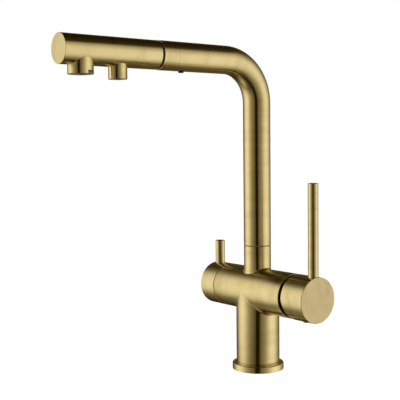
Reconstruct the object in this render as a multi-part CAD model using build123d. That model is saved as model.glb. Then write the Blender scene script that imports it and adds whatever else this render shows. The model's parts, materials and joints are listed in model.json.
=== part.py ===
from build123d import *
import math
import os

# Three way filtered water tap: a pull-out spray head on a swivelling spout, a
# single-lever mixer at +X and a separate filtered-water valve at -X.
# Millimetres. The origin is the middle of the base at deck level, +Z is up and
# the spout points towards -Y.

# ---------------------------------------------------------------- clearances
RUN = 0.05            # radial running clearance of a shaft or ring in its bore
FIT = 0.05            # between pieces that are assembled and stay put
GAP = 0.3             # between pieces that pass each other
SLOT_GAP = 0.1        # ball and pocket of the disc drive
EDGE = 0.4            # broken edge on turned brass
OVERCUT = 1.0         # how far a cut runs past the face that it opens

# ---------------------------------------------------------------- spout
TUBE_R = 13.8         # outside of riser and arm
TUBE_WALL = 1.3
BEND_R = 41.0         # centre line of the bend
ARM_Z = 311.6         # arm axis above the deck
ARM_REACH = 120.4     # tap axis to the arm's open end
BAND = 1.9            # visible width of the dock's black flange
BAND_STEP = 0.8       # flange radius under the tube's
DOCK_DEPTH = 32.0     # dock inside the arm
DOCK_STEP = 4.3       # tube's outside to the dock's bore
DOCK_SCREW_INSET = 27.0   # behind the arm's open end
DOCK_SCREW_R = 2.6
DOCK_SCREW_PROUD = 1.2
DOCK_SCREW_STEM_R = 1.6

# ---------------------------------------------------------------- body
BODY_R = 22.1         # barrel, mixer handle and filter handle
COLUMN_STEP = 0.1     # column radius under the barrel's
BARREL_Z = 81.0
BARREL_RIGHT = 55.0
BARREL_LEFT = 45.2
NECK_RISE = 45.3      # neck's top above the barrel axis
NECK_WALL = 1.8
NECK_BORE_DEPTH = 26.6
WASHER = 0.6
NECK_BLEND = 2.0
COLUMN_BLEND = 3.0
COLUMN_WALL = 2.0
RING_STEP = 4.2       # base ring past the column
RING_H = 6.5
RING_ROUND = 1.1
RING_LEDGE = 3.0
RING_LIP = 1.0        # base ring's bore inside the manifold's
GASKET_LIP = 1.4      # brass between that bore and the gasket
GASKET_W = 3.4
GASKET_H = 1.8

# ---------------------------------------------------------------- hoses
HOSE_STEP = 6.8       # tube's outside to the hose's
HOSE_WALL = 1.8
INNER_HOSE_R = 3.0
INNER_HOSE_WALL = 1.0
FERRULE_WALL = 0.7    # outside the hose
FERRULE_H = 14.0
FERRULE_LIFT = 0.5

# ---------------------------------------------------------------- waterways
HOSE_ROOM = 1.2       # round the hose in the column
CHANNEL_R = 2.5
PORT_WALL_IN = 1.3    # between a supply port and the hose bore
PORT_WALL_OUT = 1.5   # between a supply port and the column's wall
PORT_DEPTH = 10.0
PORT_FLOOR = 2.0
PORT_STEP = 1.0       # filtered-water ports under the supply ports
STUD_R = 2.5          # M6 fixing studs
MIXED_ANGLE = 0.0
COLD_ANGLE = 45.0
STUD_ANGLE = 90.0
FILTER_IN_ANGLE = 135.0
FILTER_OUT_ANGLE = 225.0
HOT_ANGLE = 315.0
MIXED_RISE = 9.0      # mixed outlet above the barrel axis

# ---------------------------------------------------------------- cartridge
PIVOT_DEPTH = 15.0    # lever pivot behind the barrel's end
CARTRIDGE_R = 17.4
HOUSING_WALL = 1.9
HOUSING_END = 2.7
CARRIER_NECK_R = 12.0
CARRIER_NECK = 6.0    # past the pivot
CARRIER_FLANGE = 2.5
STEM_R = 4.0
STEM_FOOT = 3.0       # full section behind the pivot
STEM_REACH = 35.5
STEM_NECK_R = 1.3
BALL_ARM = 8.0        # pivot to ball
BALL_R = 2.0
PIN_R = 1.5
PIN_HALF = 11.0
TILT = 16.0           # degrees, the mixer lever's travel
DRIVER_T = 5.2
DRIVER_R = 12.2
DRIVER_FLOOR = 0.6
RAIL_Y = 9.0
RAIL_W = 2.0
RAIL_H = 1.5
RAIL_HALF = 7.0
MOVING_T = 3.2
MIX_CHAMBER_R = 6.7
MIX_CHAMBER_D = 1.6
FIXED_T = 3.25
BASE_T = 3.5
FIXED_DISC_R = 15.0
SEAL_R = 4.2
SEAL_BORE_R = 2.8
SEAL_T = 1.6
NUT_T = 9.0
NUT_BORE_R = 12.7
NUT_SLOT_W = 4.0
NUT_SLOT_D = 2.5
DOME_R = 23.0         # sphere about the lever pivot
DOME_WALL = 2.0
DOME_TIP = 19.5
DOME_HOLE_R = 10.4
FLANGE_R = 21.0       # dome's flange, let into the barrel's end
FLANGE_T = 1.0

# ---------------------------------------------------------------- mixer handle
HANDLE_GAP = 3.5      # open gap to the barrel
HANDLE_LENGTH = 28.6
HANDLE_WALL = 2.6
HANDLE_CUP = 7.5
HANDLE_RELIEF = 10.0  # degrees, lower half of the rear rim
BOSS_R = 8.0
BOSS_GAP = 0.5
LEVER_R = 5.0
LEVER_INSET = 6.4     # lever axis behind the handle's face
LEVER_RISE = 110.7    # top above the barrel axis
LEVER_ROUND = 0.8
LEVER_SUNK = 2.5
STUB_R = 3.0
STUB_FOOT = 8.0       # above the barrel axis
HANDLE_SCREW_INSET = 15.6
HANDLE_SCREW_R = 2.5
HANDLE_SCREW_L = 11.0
PLUG_R = 3.2
PLUG_T = 3.4
PLUG_PROUD = 1.0
HEX_R = 1.4

# ---------------------------------------------------------------- filter valve
CAP_GAP = 0.5
CAP_LENGTH = 21.8
CAP_WALL = 2.5
CAP_CUP = 11.0
CAP_LEVER_INSET = 6.0
CAP_LEVER_RISE = 45.8
CAP_SKIN = 2.4        # brass left in front of the spindle
CAVITY_R = 11.0
CAVITY_DEPTH = 21.2
HEX_FLANGE_R = 13.5
HEX_FLANGE_T = 4.0
HEADWORK_NECK_R = 7.0
HEADWORK_NECK = 4.8
HEADWORK_WAIST_R = 9.7
WAIST_FROM = 4.5
WAIST_LENGTH = 8.0
CHAMBER_R = 8.4
SEAT_T = 2.5
FILTER_DISC_T = 3.0
MOON_R = 5.9          # half-moon opening of the filter discs
MOON_STEP = 0.6       # its flat side from the axis
SPINDLE_R = 4.0
SPINDLE_FOOT_R = 7.5
SPINDLE_FOOT_T = 1.5
SPINDLE_PORT_R = 1.5
ORING_W = 1.9
HEADWORK_ORING_FROM = 16.0
SPINDLE_ORING_FROM = 15.0

# ---------------------------------------------------------------- swivel
SPIGOT_STEP = 2.2     # tube's outside to the spigot's
SPIGOT_ROOM = 1.6     # round the hose in the spigot
SPIGOT_PLUG = 13.0    # length inside the tube
SLIP_RING_H = 3.0
SLIP_GROOVE = 0.7
SLIP_INSET = 2.5      # from each end of the spigot
LOCK_DROP = 11.3      # lock screw under the neck's top
LOCK_GROOVE = 1.0
LOCK_GROOVE_H = 3.2
LOCK_SCREW_R = 2.0
LOCK_TIP_R = 1.2

# ---------------------------------------------------------------- spray head
HEAD_STEP = 0.35      # head's radius under the tube's
HEAD_LENGTH = 99.15
HEAD_WALL = 1.55
HEAD_END_WALL = 2.0
TAIL = 18.0           # part of the inlet that docks in the arm
TAIL_FLANGE = 2.7
INLET_HOLE_R = 1.3
INLET_HOLE_PITCH = 6.0
HOSE_NUT_L = 12.0
HOSE_NUT_STEP = 4.9   # tube's outside to the nut's corners
CORE_END_GAP = 4.0
MIXED_WAY_R = 3.2
MIXED_WAY_RISE = 7.0
FILTER_WAY_R = 2.5
MANIFOLD_GROOVE = 2.0
FILTER_LIP = 1.0      # core left round the filter way and its gasket's bore
MIXED_LIP = 2.0
VALVE_FROM = 6.0
VALVE_L = 8.0
MAIN_OUTLET_INSET = 21.1   # outlet axis behind the head's face
MAIN_OUTLET_STEP = 1.95    # its radius under the head's
MAIN_OUTLET_DROP = 21.2    # rim under the head's axis
FILTER_OUTLET_INSET = 58.6
FILTER_OUTLET_STEP = 4.85
FILTER_OUTLET_DROP = 24.0
OUTLET_WALL = 1.4
AERATOR_RECESS = 0.6
AERATOR_WALL = 1.4
AERATOR_SEAT_UP = 2.85     # core's flat seat over the head's underside
GASKET_T = 1.4
INSERT_T = 3.0
INSERT_RECESS = 1.4
MESH_HOLE_R = 0.6
MESH_STEP = 2.0
MESH_RIM = 1.0        # hole centres from the insert's edge
NOTCH_ANGLE = 25.0
NOTCH_W = 7.8
NOTCH_H = 3.0
LUG_W = 7.0
LUG_GAP = 0.8         # open notch over the lug

# ---------------------------------------------------------------- worked out
TUBE_IN_R = TUBE_R - TUBE_WALL
DOCK_BORE_R = TUBE_R - DOCK_STEP
DOCK_SCREW_REACH = ARM_REACH - DOCK_SCREW_INSET
SPIGOT_R = TUBE_R - SPIGOT_STEP
NECK_BORE_R = TUBE_R - NECK_WALL
HOSE_R = TUBE_R - HOSE_STEP
HOSE_BORE_R = HOSE_R + HOSE_ROOM
SPIGOT_BORE_R = HOSE_R + SPIGOT_ROOM
HOSE_NUT_R = TUBE_R - HOSE_NUT_STEP
FERRULE_R = HOSE_R + FERRULE_WALL
COLUMN_R = BODY_R - COLUMN_STEP
MANIFOLD_R = COLUMN_R - COLUMN_WALL
RING_R = COLUMN_R + RING_STEP
RING_BORE_R = MANIFOLD_R - RING_LIP
GASKET_IN_R = RING_BORE_R + GASKET_LIP
# M10 x 1 tails for hot, cold and mixed water, and M8 x 1 for filtered water.
SUPPLY_PORT_R = (MANIFOLD_R - HOSE_BORE_R - PORT_WALL_IN - PORT_WALL_OUT) / 2
FILTER_PORT_R = SUPPLY_PORT_R - PORT_STEP
PORT_PITCH_R = HOSE_BORE_R + PORT_WALL_IN + SUPPLY_PORT_R   # ports and studs
NECK_TOP = BARREL_Z + NECK_RISE
SEAM_Z = NECK_TOP + WASHER + RUN
LOCK_Z = NECK_TOP - LOCK_DROP
LEVER_TOP = BARREL_Z + LEVER_RISE
CAP_LEVER_TOP = BARREL_Z + CAP_LEVER_RISE
CARTRIDGE_BORE_R = CARTRIDGE_R + FIT
PIVOT_X = BARREL_RIGHT - PIVOT_DEPTH
CARRIER_TOP_X = PIVOT_X - HOUSING_END - GAP
CARRIER_BACK_X = CARRIER_TOP_X - CARRIER_FLANGE
DRIVER_TOP_X = CARRIER_BACK_X - GAP
DRIVER_X = DRIVER_TOP_X - DRIVER_T
MOVING_X = DRIVER_X - MOVING_T
FIXED_X = MOVING_X - RUN - FIXED_T
CARTRIDGE_X = FIXED_X - BASE_T
HOUSING_IN_R = CARTRIDGE_R - HOUSING_WALL
HANDLE_X = BARREL_RIGHT + HANDLE_GAP
HANDLE_FACE_X = HANDLE_X + HANDLE_LENGTH
LEVER_X = HANDLE_FACE_X - LEVER_INSET
HANDLE_SCREW_X = HANDLE_FACE_X - HANDLE_SCREW_INSET
BODY_TOP_Z = BARREL_Z + BODY_R
LEVER_SEAT_Z = BODY_TOP_Z - LEVER_SUNK
CAP_X = -BARREL_LEFT - CAP_GAP
CAP_FACE_X = CAP_X - CAP_LENGTH
CAP_LEVER_X = CAP_FACE_X + CAP_LEVER_INSET
CAVITY_X = -BARREL_LEFT + CAVITY_DEPTH
MANIFOLD_TOP = PORT_DEPTH + PORT_FLOOR
ARM_END = -ARM_REACH
BAND_END = ARM_END - BAND
HEAD_BACK = BAND_END - RUN
HEAD_FACE = HEAD_BACK - HEAD_LENGTH
HEAD_R = TUBE_R - HEAD_STEP
HEAD_IN_R = HEAD_R - HEAD_WALL
MAIN_OUTLET_R = HEAD_R - MAIN_OUTLET_STEP
FILTER_OUTLET_R = HEAD_R - FILTER_OUTLET_STEP
AERATOR_SEAT = HEAD_R - AERATOR_SEAT_UP   # under the head's axis
CORE_R = HEAD_IN_R - 3 * FIT
MAIN_OUTLET_Y = HEAD_FACE + MAIN_OUTLET_INSET
FILTER_OUTLET_Y = HEAD_FACE + FILTER_OUTLET_INSET
HOSE_END = HEAD_BACK + TAIL
INLET_BACK = HEAD_BACK - TAIL_FLANGE
DOCK_BACK = ARM_END + DOCK_DEPTH

LOW = (Align.CENTER, Align.CENTER, Align.MIN)


# ---------------------------------------------------------------- small helpers
def rod_x(radius, start, end, y=0.0, z=BARREL_Z):
    """A cylinder along X between two places on it."""
    low, high = min(start, end), max(start, end)
    return Plane(origin=(low, y, z), z_dir=(1, 0, 0)) * Cylinder(radius, high - low, align=LOW)


def rod_y(radius, start, end, x=0.0, z=ARM_Z):
    """A cylinder along Y between two places on it."""
    low, high = min(start, end), max(start, end)
    return Plane(origin=(x, low, z), z_dir=(0, 1, 0)) * Cylinder(radius, high - low, align=LOW)


def rod_z(radius, start, end, x=0.0, y=0.0):
    """A cylinder along Z between two heights."""
    low, high = min(start, end), max(start, end)
    return Pos(x, y, low) * Cylinder(radius, high - low, align=LOW)


def block(x_range, y_range, z_range):
    """A box between the given limits."""
    sizes = [high - low for low, high in (x_range, y_range, z_range)]
    return Pos(x_range[0], y_range[0], z_range[0]) * Box(
        *sizes, align=(Align.MIN, Align.MIN, Align.MIN)
    )


def on_pitch(angle):
    """The place of a port on the base's pitch circle."""
    turn = math.radians(angle)
    return PORT_PITCH_R * math.cos(turn), PORT_PITCH_R * math.sin(turn)


def circles_at(shape, axis, place):
    """The round edges of a shape that lie in one plane across an axis."""
    return [
        edge
        for edge in shape.edges().filter_by(GeomType.CIRCLE)
        if abs(getattr(edge.center(CenterOf.BOUNDING_BOX), axis) - place) < 1e-4
        and abs(getattr(edge.bounding_box().size, axis)) < 1e-4
    ]


def widest(edges):
    """Those of the round edges that have the largest radius."""
    largest = max(edge.radius for edge in edges)
    return [edge for edge in edges if edge.radius > largest - 1e-4]


def broken(shape, axis, place, size=EDGE):
    """The shape with its outer round edge at that place chamfered."""
    return chamfer(widest(circles_at(shape, axis, place)), size)


def rounded(shape, axis, place, size):
    """The shape with its outer round edge at that place rounded."""
    return fillet(widest(circles_at(shape, axis, place)), size)


def hose_path(start_z, end_y):
    """The centre line up the riser, round the bend and out along the arm."""
    half = BEND_R * math.cos(math.radians(45))
    riser = Line((0, 0, start_z), (0, 0, ARM_Z - BEND_R))
    bend = ThreePointArc(
        (0, 0, ARM_Z - BEND_R),
        (0, half - BEND_R, ARM_Z - BEND_R + half),
        (0, -BEND_R, ARM_Z),
    )
    arm = Line((0, -BEND_R, ARM_Z), (0, end_y, ARM_Z))
    return riser + bend + arm


def pipe(outer, inner, start_z, end_y):
    """A tube along the riser, the bend and the arm."""
    path = hose_path(start_z, end_y)
    start = Plane(origin=(0, 0, start_z), z_dir=(0, 0, 1))
    return sweep(start * Circle(outer), path) - sweep(start * Circle(inner), path)


# ---------------------------------------------------------------- base
def make_base_ring():
    ring = rod_z(RING_R, 0, RING_H)
    ring = rounded(ring, "Z", RING_H, RING_ROUND)
    ring -= rod_z(RING_BORE_R, 0, RING_H)
    ring -= rod_z(COLUMN_R + FIT, RING_LEDGE, RING_H)
    groove = rod_z(GASKET_IN_R + GASKET_W + FIT, 0, GASKET_H)
    groove -= rod_z(GASKET_IN_R - FIT, 0, GASKET_H)
    return ring - groove


def make_base_gasket():
    gasket = rod_z(GASKET_IN_R + GASKET_W, 0, GASKET_H)
    return gasket - rod_z(GASKET_IN_R, 0, GASKET_H)


def make_base_manifold():
    """The brass plug with the supply ports and the stud holes."""
    plug = rod_z(RING_BORE_R - FIT, 0, MANIFOLD_TOP)
    plug += rod_z(MANIFOLD_R - FIT, RING_LEDGE, MANIFOLD_TOP)
    plug -= rod_z(HOSE_BORE_R, 0, MANIFOLD_TOP)
    ports = {
        MIXED_ANGLE: SUPPLY_PORT_R,
        COLD_ANGLE: SUPPLY_PORT_R,
        HOT_ANGLE: SUPPLY_PORT_R,
        FILTER_IN_ANGLE: FILTER_PORT_R,
        FILTER_OUT_ANGLE: FILTER_PORT_R,
    }
    for angle, radius in ports.items():
        x, y = on_pitch(angle)
        plug -= rod_z(radius, 0, PORT_DEPTH, x, y)
        plug -= rod_z(CHANNEL_R, PORT_DEPTH, MANIFOLD_TOP, x, y)
    for angle in (STUD_ANGLE, STUD_ANGLE + 180):
        x, y = on_pitch(angle)
        plug -= rod_z(STUD_R, 0, MANIFOLD_TOP, x, y)
    return plug


# ---------------------------------------------------------------- casting
def creases(casting, low, high):
    """The curved edges where two tubes meet, between two heights."""
    return [
        edge
        for edge in casting.edges()
        if edge.geom_type not in (GeomType.LINE, GeomType.CIRCLE)
        and low < edge.bounding_box().center().Z < high
    ]


def mixer_channels():
    """Drillings between the base and the cartridge's seat."""
    cut = []
    floor = CARTRIDGE_X
    for angle, rise in ((COLD_ANGLE, 0.0), (HOT_ANGLE, 0.0), (MIXED_ANGLE, MIXED_RISE)):
        x, y = on_pitch(angle)
        z = BARREL_Z + rise
        cut.append(rod_z(CHANNEL_R, MANIFOLD_TOP, z, x, y))
        cut.append(Pos(x, y, z) * Sphere(CHANNEL_R))
        cut.append(rod_x(CHANNEL_R, x, floor, y, z))
    return cut


def filter_channels():
    """Drillings between the base and the filter valve's seat."""
    in_x, in_y = on_pitch(FILTER_IN_ANGLE)
    out_x, out_y = on_pitch(FILTER_OUT_ANGLE)
    slant = Vector(CAVITY_X - in_x, -in_y, 0)
    seat_way = Plane(origin=(in_x, in_y, BARREL_Z), z_dir=slant)
    outlet_end = CAVITY_X - WAIST_FROM - WAIST_LENGTH / 2
    return [
        rod_z(CHANNEL_R, MANIFOLD_TOP, BARREL_Z, in_x, in_y),
        Pos(in_x, in_y, BARREL_Z) * Sphere(CHANNEL_R),
        seat_way * Cylinder(CHANNEL_R, slant.length, align=LOW),
        rod_z(CHANNEL_R, MANIFOLD_TOP, BARREL_Z, out_x, out_y),
        Pos(out_x, out_y, BARREL_Z) * Sphere(CHANNEL_R),
        rod_x(CHANNEL_R, out_x, outlet_end, out_y),
    ]


def make_tap_body():
    """Column, barrel and neck in one brass casting."""
    casting = rod_z(COLUMN_R, RING_LEDGE, BARREL_Z) + rod_x(BODY_R, -BARREL_LEFT, BARREL_RIGHT)
    casting = fillet(creases(casting, RING_LEDGE, BARREL_Z), COLUMN_BLEND)
    casting += rod_z(TUBE_R, BARREL_Z, NECK_TOP)
    casting = fillet(creases(casting, BARREL_Z + TUBE_R, NECK_TOP), NECK_BLEND)
    casting = broken(casting, "Z", NECK_TOP)
    casting = broken(casting, "X", BARREL_RIGHT)
    casting = broken(casting, "X", -BARREL_LEFT)
    cuts = [
        rod_z(MANIFOLD_R, RING_LEDGE, MANIFOLD_TOP),
        rod_z(HOSE_BORE_R, MANIFOLD_TOP, NECK_TOP),
        rod_z(NECK_BORE_R, NECK_TOP - NECK_BORE_DEPTH, NECK_TOP),
        rod_x(CARTRIDGE_BORE_R, CARTRIDGE_X, BARREL_RIGHT),
        rod_x(FLANGE_R + FIT, BARREL_RIGHT - FLANGE_T, BARREL_RIGHT),
        rod_x(CAVITY_R, CAVITY_X, -BARREL_LEFT),
        rod_y(LOCK_SCREW_R + FIT, 0, 2 * TUBE_R, z=LOCK_Z),
    ]
    for cut in cuts + mixer_channels() + filter_channels():
        casting -= cut
    return casting


# ---------------------------------------------------------------- cartridge
def port_places():
    """The cartridge's three ports, as y and z from its axis."""
    cold = on_pitch(COLD_ANGLE)[1]
    hot = on_pitch(HOT_ANGLE)[1]
    return [(cold, 0.0), (hot, 0.0), (0.0, MIXED_RISE)]


def make_cartridge_base():
    base = rod_x(CARTRIDGE_R, CARTRIDGE_X, FIXED_X)
    for y, rise in port_places():
        base -= rod_x(SEAL_BORE_R, CARTRIDGE_X, FIXED_X, y, BARREL_Z + rise)
        base -= rod_x(SEAL_R + FIT, CARTRIDGE_X, CARTRIDGE_X + SEAL_T, y, BARREL_Z + rise)
    return base


def make_port_seals():
    seals = []
    for y, rise in port_places():
        seal = rod_x(SEAL_R, CARTRIDGE_X, CARTRIDGE_X + SEAL_T, y, BARREL_Z + rise)
        seals.append(seal - rod_x(SEAL_BORE_R, CARTRIDGE_X, CARTRIDGE_X + SEAL_T, y, BARREL_Z + rise))
    return seals


def make_fixed_disc():
    disc = rod_x(FIXED_DISC_R, FIXED_X, FIXED_X + FIXED_T)
    for y, rise in port_places():
        disc -= rod_x(SEAL_BORE_R, FIXED_X, FIXED_X + FIXED_T, y, BARREL_Z + rise)
    return disc


def make_cartridge_housing():
    housing = rod_x(CARTRIDGE_R, FIXED_X, PIVOT_X)
    housing -= rod_x(HOUSING_IN_R, FIXED_X, PIVOT_X - HOUSING_END)
    housing -= rod_x(CARRIER_NECK_R + RUN, PIVOT_X - HOUSING_END, PIVOT_X)
    return housing


def make_moving_disc():
    """The upper ceramic disc, with the chamber that joins the ports."""
    disc = rod_x(DRIVER_R, MOVING_X, DRIVER_X)
    chamber = rod_x(MIX_CHAMBER_R, MOVING_X, MOVING_X + MIX_CHAMBER_D)
    return disc - chamber


def make_disc_driver():
    """The plastic cap on the moving disc, which takes the lever's ball."""
    driver = rod_x(DRIVER_R, DRIVER_X, DRIVER_TOP_X)
    half = BALL_R + SLOT_GAP
    driver -= block(
        (DRIVER_X + DRIVER_FLOOR, DRIVER_TOP_X),
        (-BALL_R - GAP, BALL_R + GAP),
        (BARREL_Z - half, BARREL_Z + half),
    )
    for side in (-1, 1):
        y = side * RAIL_Y
        driver += block(
            (DRIVER_TOP_X, DRIVER_TOP_X + RAIL_H),
            (y - RAIL_W / 2, y + RAIL_W / 2),
            (BARREL_Z - RAIL_HALF, BARREL_Z + RAIL_HALF),
        )
    return driver


def make_carrier():
    """The turning part of the cartridge that holds the lever's pin."""
    carrier = rod_x(HOUSING_IN_R - GAP, CARRIER_BACK_X, CARRIER_TOP_X)
    carrier += rod_x(CARRIER_NECK_R, CARRIER_TOP_X, PIVOT_X + CARRIER_NECK)
    travel = math.sin(math.radians(TILT))
    corner = STEM_FOOT + STEM_R * travel + GAP
    carrier -= block(
        (PIVOT_X - corner, PIVOT_X + CARRIER_NECK),
        (-STEM_R - GAP, STEM_R + GAP),
        (
            BARREL_Z - STEM_R - CARRIER_NECK * travel - 2 * GAP,
            BARREL_Z + STEM_R + corner * travel + GAP,
        ),
    )
    neck_reach = STEM_NECK_R + GAP
    carrier -= block(
        (CARRIER_BACK_X, PIVOT_X),
        (-neck_reach, neck_reach),
        (BARREL_Z - neck_reach, BARREL_Z + neck_reach + BALL_ARM * travel),
    )
    for side in (-1, 1):
        y = side * RAIL_Y
        carrier -= block(
            (CARRIER_BACK_X, DRIVER_TOP_X + RAIL_H + GAP),
            (y - RAIL_W / 2 - RUN, y + RAIL_W / 2 + RUN),
            (BARREL_Z - HOUSING_IN_R, BARREL_Z + HOUSING_IN_R),
        )
    carrier -= Plane(origin=(PIVOT_X, -PIN_HALF, BARREL_Z), z_dir=(0, 1, 0)) * Cylinder(
        PIN_R + FIT, 2 * PIN_HALF, align=LOW
    )
    return carrier


def make_stem_pin():
    return rod_y(PIN_R, -PIN_HALF, PIN_HALF, x=PIVOT_X, z=BARREL_Z)


def make_stem():
    """The metal lever on the pin: ball at one end, handle at the other."""
    stem = rod_x(STEM_R, PIVOT_X - STEM_FOOT, PIVOT_X + STEM_REACH)
    stem += rod_x(STEM_NECK_R, PIVOT_X - BALL_ARM, PIVOT_X - STEM_FOOT)
    stem += Pos(PIVOT_X - BALL_ARM, 0, BARREL_Z) * Sphere(BALL_R)
    return stem - rod_y(PIN_R + RUN, -STEM_R, STEM_R, x=PIVOT_X, z=BARREL_Z)


def make_cartridge_nut():
    """The threaded ring that holds the cartridge in the barrel."""
    nut = rod_x(CARTRIDGE_R, PIVOT_X, PIVOT_X + NUT_T)
    nut -= rod_x(NUT_BORE_R, PIVOT_X, PIVOT_X + NUT_T)
    for angle in range(0, 360, 90):
        notch = block(
            (PIVOT_X + NUT_T - NUT_SLOT_D, PIVOT_X + NUT_T),
            (-NUT_SLOT_W / 2, NUT_SLOT_W / 2),
            (BARREL_Z + NUT_BORE_R - OVERCUT, BARREL_Z + CARTRIDGE_R + OVERCUT),
        )
        nut -= notch.rotate(Axis((0, 0, BARREL_Z), (1, 0, 0)), angle)
    return nut


def dome_arc(radius, start_r, end_r):
    """An arc about the lever's pin, in the XZ plane, between two heights over the axis."""
    angles = [math.asin(height / radius) for height in (start_r, end_r)]
    places = [
        (PIVOT_X + radius * math.cos(angle), BARREL_Z + radius * math.sin(angle))
        for angle in (angles[0], sum(angles) / 2, angles[1])
    ]
    return ThreePointArc(*places)


def make_trim_dome():
    """The round cover over the nut, on a sphere about the lever's pin."""
    start = PIVOT_X + NUT_T
    tip = PIVOT_X + DOME_TIP
    inner_r = CARTRIDGE_R - DOME_WALL
    outside = dome_arc(DOME_R, CARTRIDGE_R, math.sqrt(DOME_R**2 - DOME_TIP**2))
    inside = dome_arc(DOME_R - DOME_WALL, DOME_HOLE_R, inner_r)
    lines = [
        Line((start, BARREL_Z + inner_r), (start, BARREL_Z + CARTRIDGE_R)),
        Line((start, BARREL_Z + CARTRIDGE_R), outside @ 0),
        outside,
        Line(outside @ 1, (tip, BARREL_Z + DOME_HOLE_R)),
        Line((tip, BARREL_Z + DOME_HOLE_R), inside @ 0),
        inside,
        Line(inside @ 1, (start, BARREL_Z + inner_r)),
    ]
    profile = Plane.XZ * make_face(Curve() + lines)
    dome = revolve(profile, Axis((0, 0, BARREL_Z), (1, 0, 0)))
    flange = rod_x(FLANGE_R, BARREL_RIGHT - FLANGE_T, BARREL_RIGHT)
    flange -= rod_x(inner_r, BARREL_RIGHT - FLANGE_T, BARREL_RIGHT)
    return dome + flange


# ---------------------------------------------------------------- levers
def make_lever(x, foot, top):
    """A round rod with a threaded foot, standing on a handle."""
    rod = rod_z(LEVER_R, LEVER_SEAT_Z, top, x)
    rod = rounded(rod, "Z", top, LEVER_ROUND)
    return rod + rod_z(STUB_R, BARREL_Z + foot, LEVER_SEAT_Z, x)


def lever_socket(x, foot):
    """What a lever's foot needs cut out of its handle."""
    socket = rod_z(LEVER_R + FIT, LEVER_SEAT_Z, BODY_TOP_Z + LEVER_R, x)
    return socket + rod_z(STUB_R + FIT, BARREL_Z + foot - FIT, LEVER_SEAT_Z, x)


# ---------------------------------------------------------------- mixer handle
def relief_cut():
    """The wedge off the lower half of the rear rim, for the lever's travel."""
    turn = math.radians(HANDLE_RELIEF)
    depth = BODY_R + OVERCUT
    with BuildPart() as wedge:
        with BuildSketch(Plane.XZ.offset(-depth)):
            with BuildLine():
                Polyline(
                    (HANDLE_X - OVERCUT, BARREL_Z),
                    (HANDLE_X, BARREL_Z),
                    (HANDLE_X + depth * math.tan(turn), BARREL_Z - depth),
                    (HANDLE_X - OVERCUT, BARREL_Z - depth),
                    close=True,
                )
            make_face()
        extrude(amount=2 * depth)
    return wedge.part


def make_mixer_handle():
    cup_end = HANDLE_X + HANDLE_CUP
    boss_x = PIVOT_X + DOME_R + BOSS_GAP
    handle = rod_x(BODY_R, HANDLE_X, HANDLE_FACE_X)
    handle = broken(handle, "X", HANDLE_FACE_X)
    handle = broken(handle, "X", HANDLE_X)
    handle -= rod_x(BODY_R - HANDLE_WALL, HANDLE_X, cup_end)
    handle += rod_x(BOSS_R, boss_x, cup_end)
    handle -= rod_x(STEM_R + FIT, boss_x, PIVOT_X + STEM_REACH + FIT)
    handle -= relief_cut()
    handle -= lever_socket(LEVER_X, STUB_FOOT)
    low = BARREL_Z - BODY_R
    handle -= rod_z(HANDLE_SCREW_R + FIT, low, BARREL_Z, HANDLE_SCREW_X)
    handle -= rod_z(
        PLUG_R + FIT, low - OVERCUT, low - PLUG_PROUD + PLUG_T, HANDLE_SCREW_X
    )
    return handle


def make_handle_screw():
    """The socket screw that clamps the handle on the stem."""
    top = BARREL_Z - STEM_R - FIT
    screw = rod_z(HANDLE_SCREW_R, top - HANDLE_SCREW_L, top, HANDLE_SCREW_X)
    hexagon = Pos(HANDLE_SCREW_X, 0, top - HANDLE_SCREW_L) * RegularPolygon(HEX_R, 6)
    return screw - extrude(hexagon, HANDLE_SCREW_R)


def make_screw_plug():
    low = BARREL_Z - BODY_R - PLUG_PROUD
    plug = rod_z(PLUG_R, low, low + PLUG_T, HANDLE_SCREW_X)
    return rounded(plug, "Z", low, PLUG_PROUD / 2)


# ---------------------------------------------------------------- filter valve
def make_filter_headwork():
    """The brass valve body in the barrel's left end."""
    out = -BARREL_LEFT
    flange = Plane(origin=(out, 0, BARREL_Z), z_dir=(-1, 0, 0)) * RegularPolygon(HEX_FLANGE_R, 6)
    work = rod_x(CAVITY_R - FIT, CAVITY_X, out) + extrude(flange, HEX_FLANGE_T)
    neck_end = out - HEX_FLANGE_T - HEADWORK_NECK
    work += rod_x(HEADWORK_NECK_R, out, neck_end)
    waist_x = CAVITY_X - WAIST_FROM
    waist = rod_x(CAVITY_R, waist_x, waist_x - WAIST_LENGTH)
    work -= waist - rod_x(HEADWORK_WAIST_R, waist_x, waist_x - WAIST_LENGTH)
    work -= rod_x(CHAMBER_R, CAVITY_X, spindle_back() - GAP)
    work -= rod_x(SPINDLE_R + RUN, CAVITY_X, neck_end)
    port_x = CAVITY_X - SEAT_T - FILTER_DISC_T - FILTER_DISC_T / 2
    for place in (rod_y, rod_z_through):
        work -= place(SPINDLE_PORT_R, -CAVITY_R, CAVITY_R, x=port_x, z=BARREL_Z)
    groove_x = CAVITY_X - HEADWORK_ORING_FROM
    groove = rod_x(CAVITY_R, groove_x, groove_x - ORING_W - 2 * FIT)
    groove -= rod_x(CAVITY_R - ORING_W, groove_x, groove_x - ORING_W - 2 * FIT)
    return work - groove


def rod_z_through(radius, start, end, x=0.0, z=0.0):
    """A cylinder along Z, from start to end about the height z."""
    return rod_z(radius, z + start, z + end, x)


def spindle_back():
    """Where the spindle's foot ends, towards the handle."""
    return CAVITY_X - SEAT_T - 2 * FILTER_DISC_T - RUN - SPINDLE_FOOT_T


def make_headwork_seal():
    groove_x = CAVITY_X - HEADWORK_ORING_FROM - FIT
    seal = rod_x(CAVITY_R - FIT, groove_x, groove_x - ORING_W)
    return seal - rod_x(CAVITY_R - ORING_W + FIT, groove_x, groove_x - ORING_W)


def make_filter_seat():
    seat = rod_x(CHAMBER_R - FIT, CAVITY_X, CAVITY_X - SEAT_T)
    return seat - rod_x(CHANNEL_R, CAVITY_X, CAVITY_X - SEAT_T)


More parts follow.
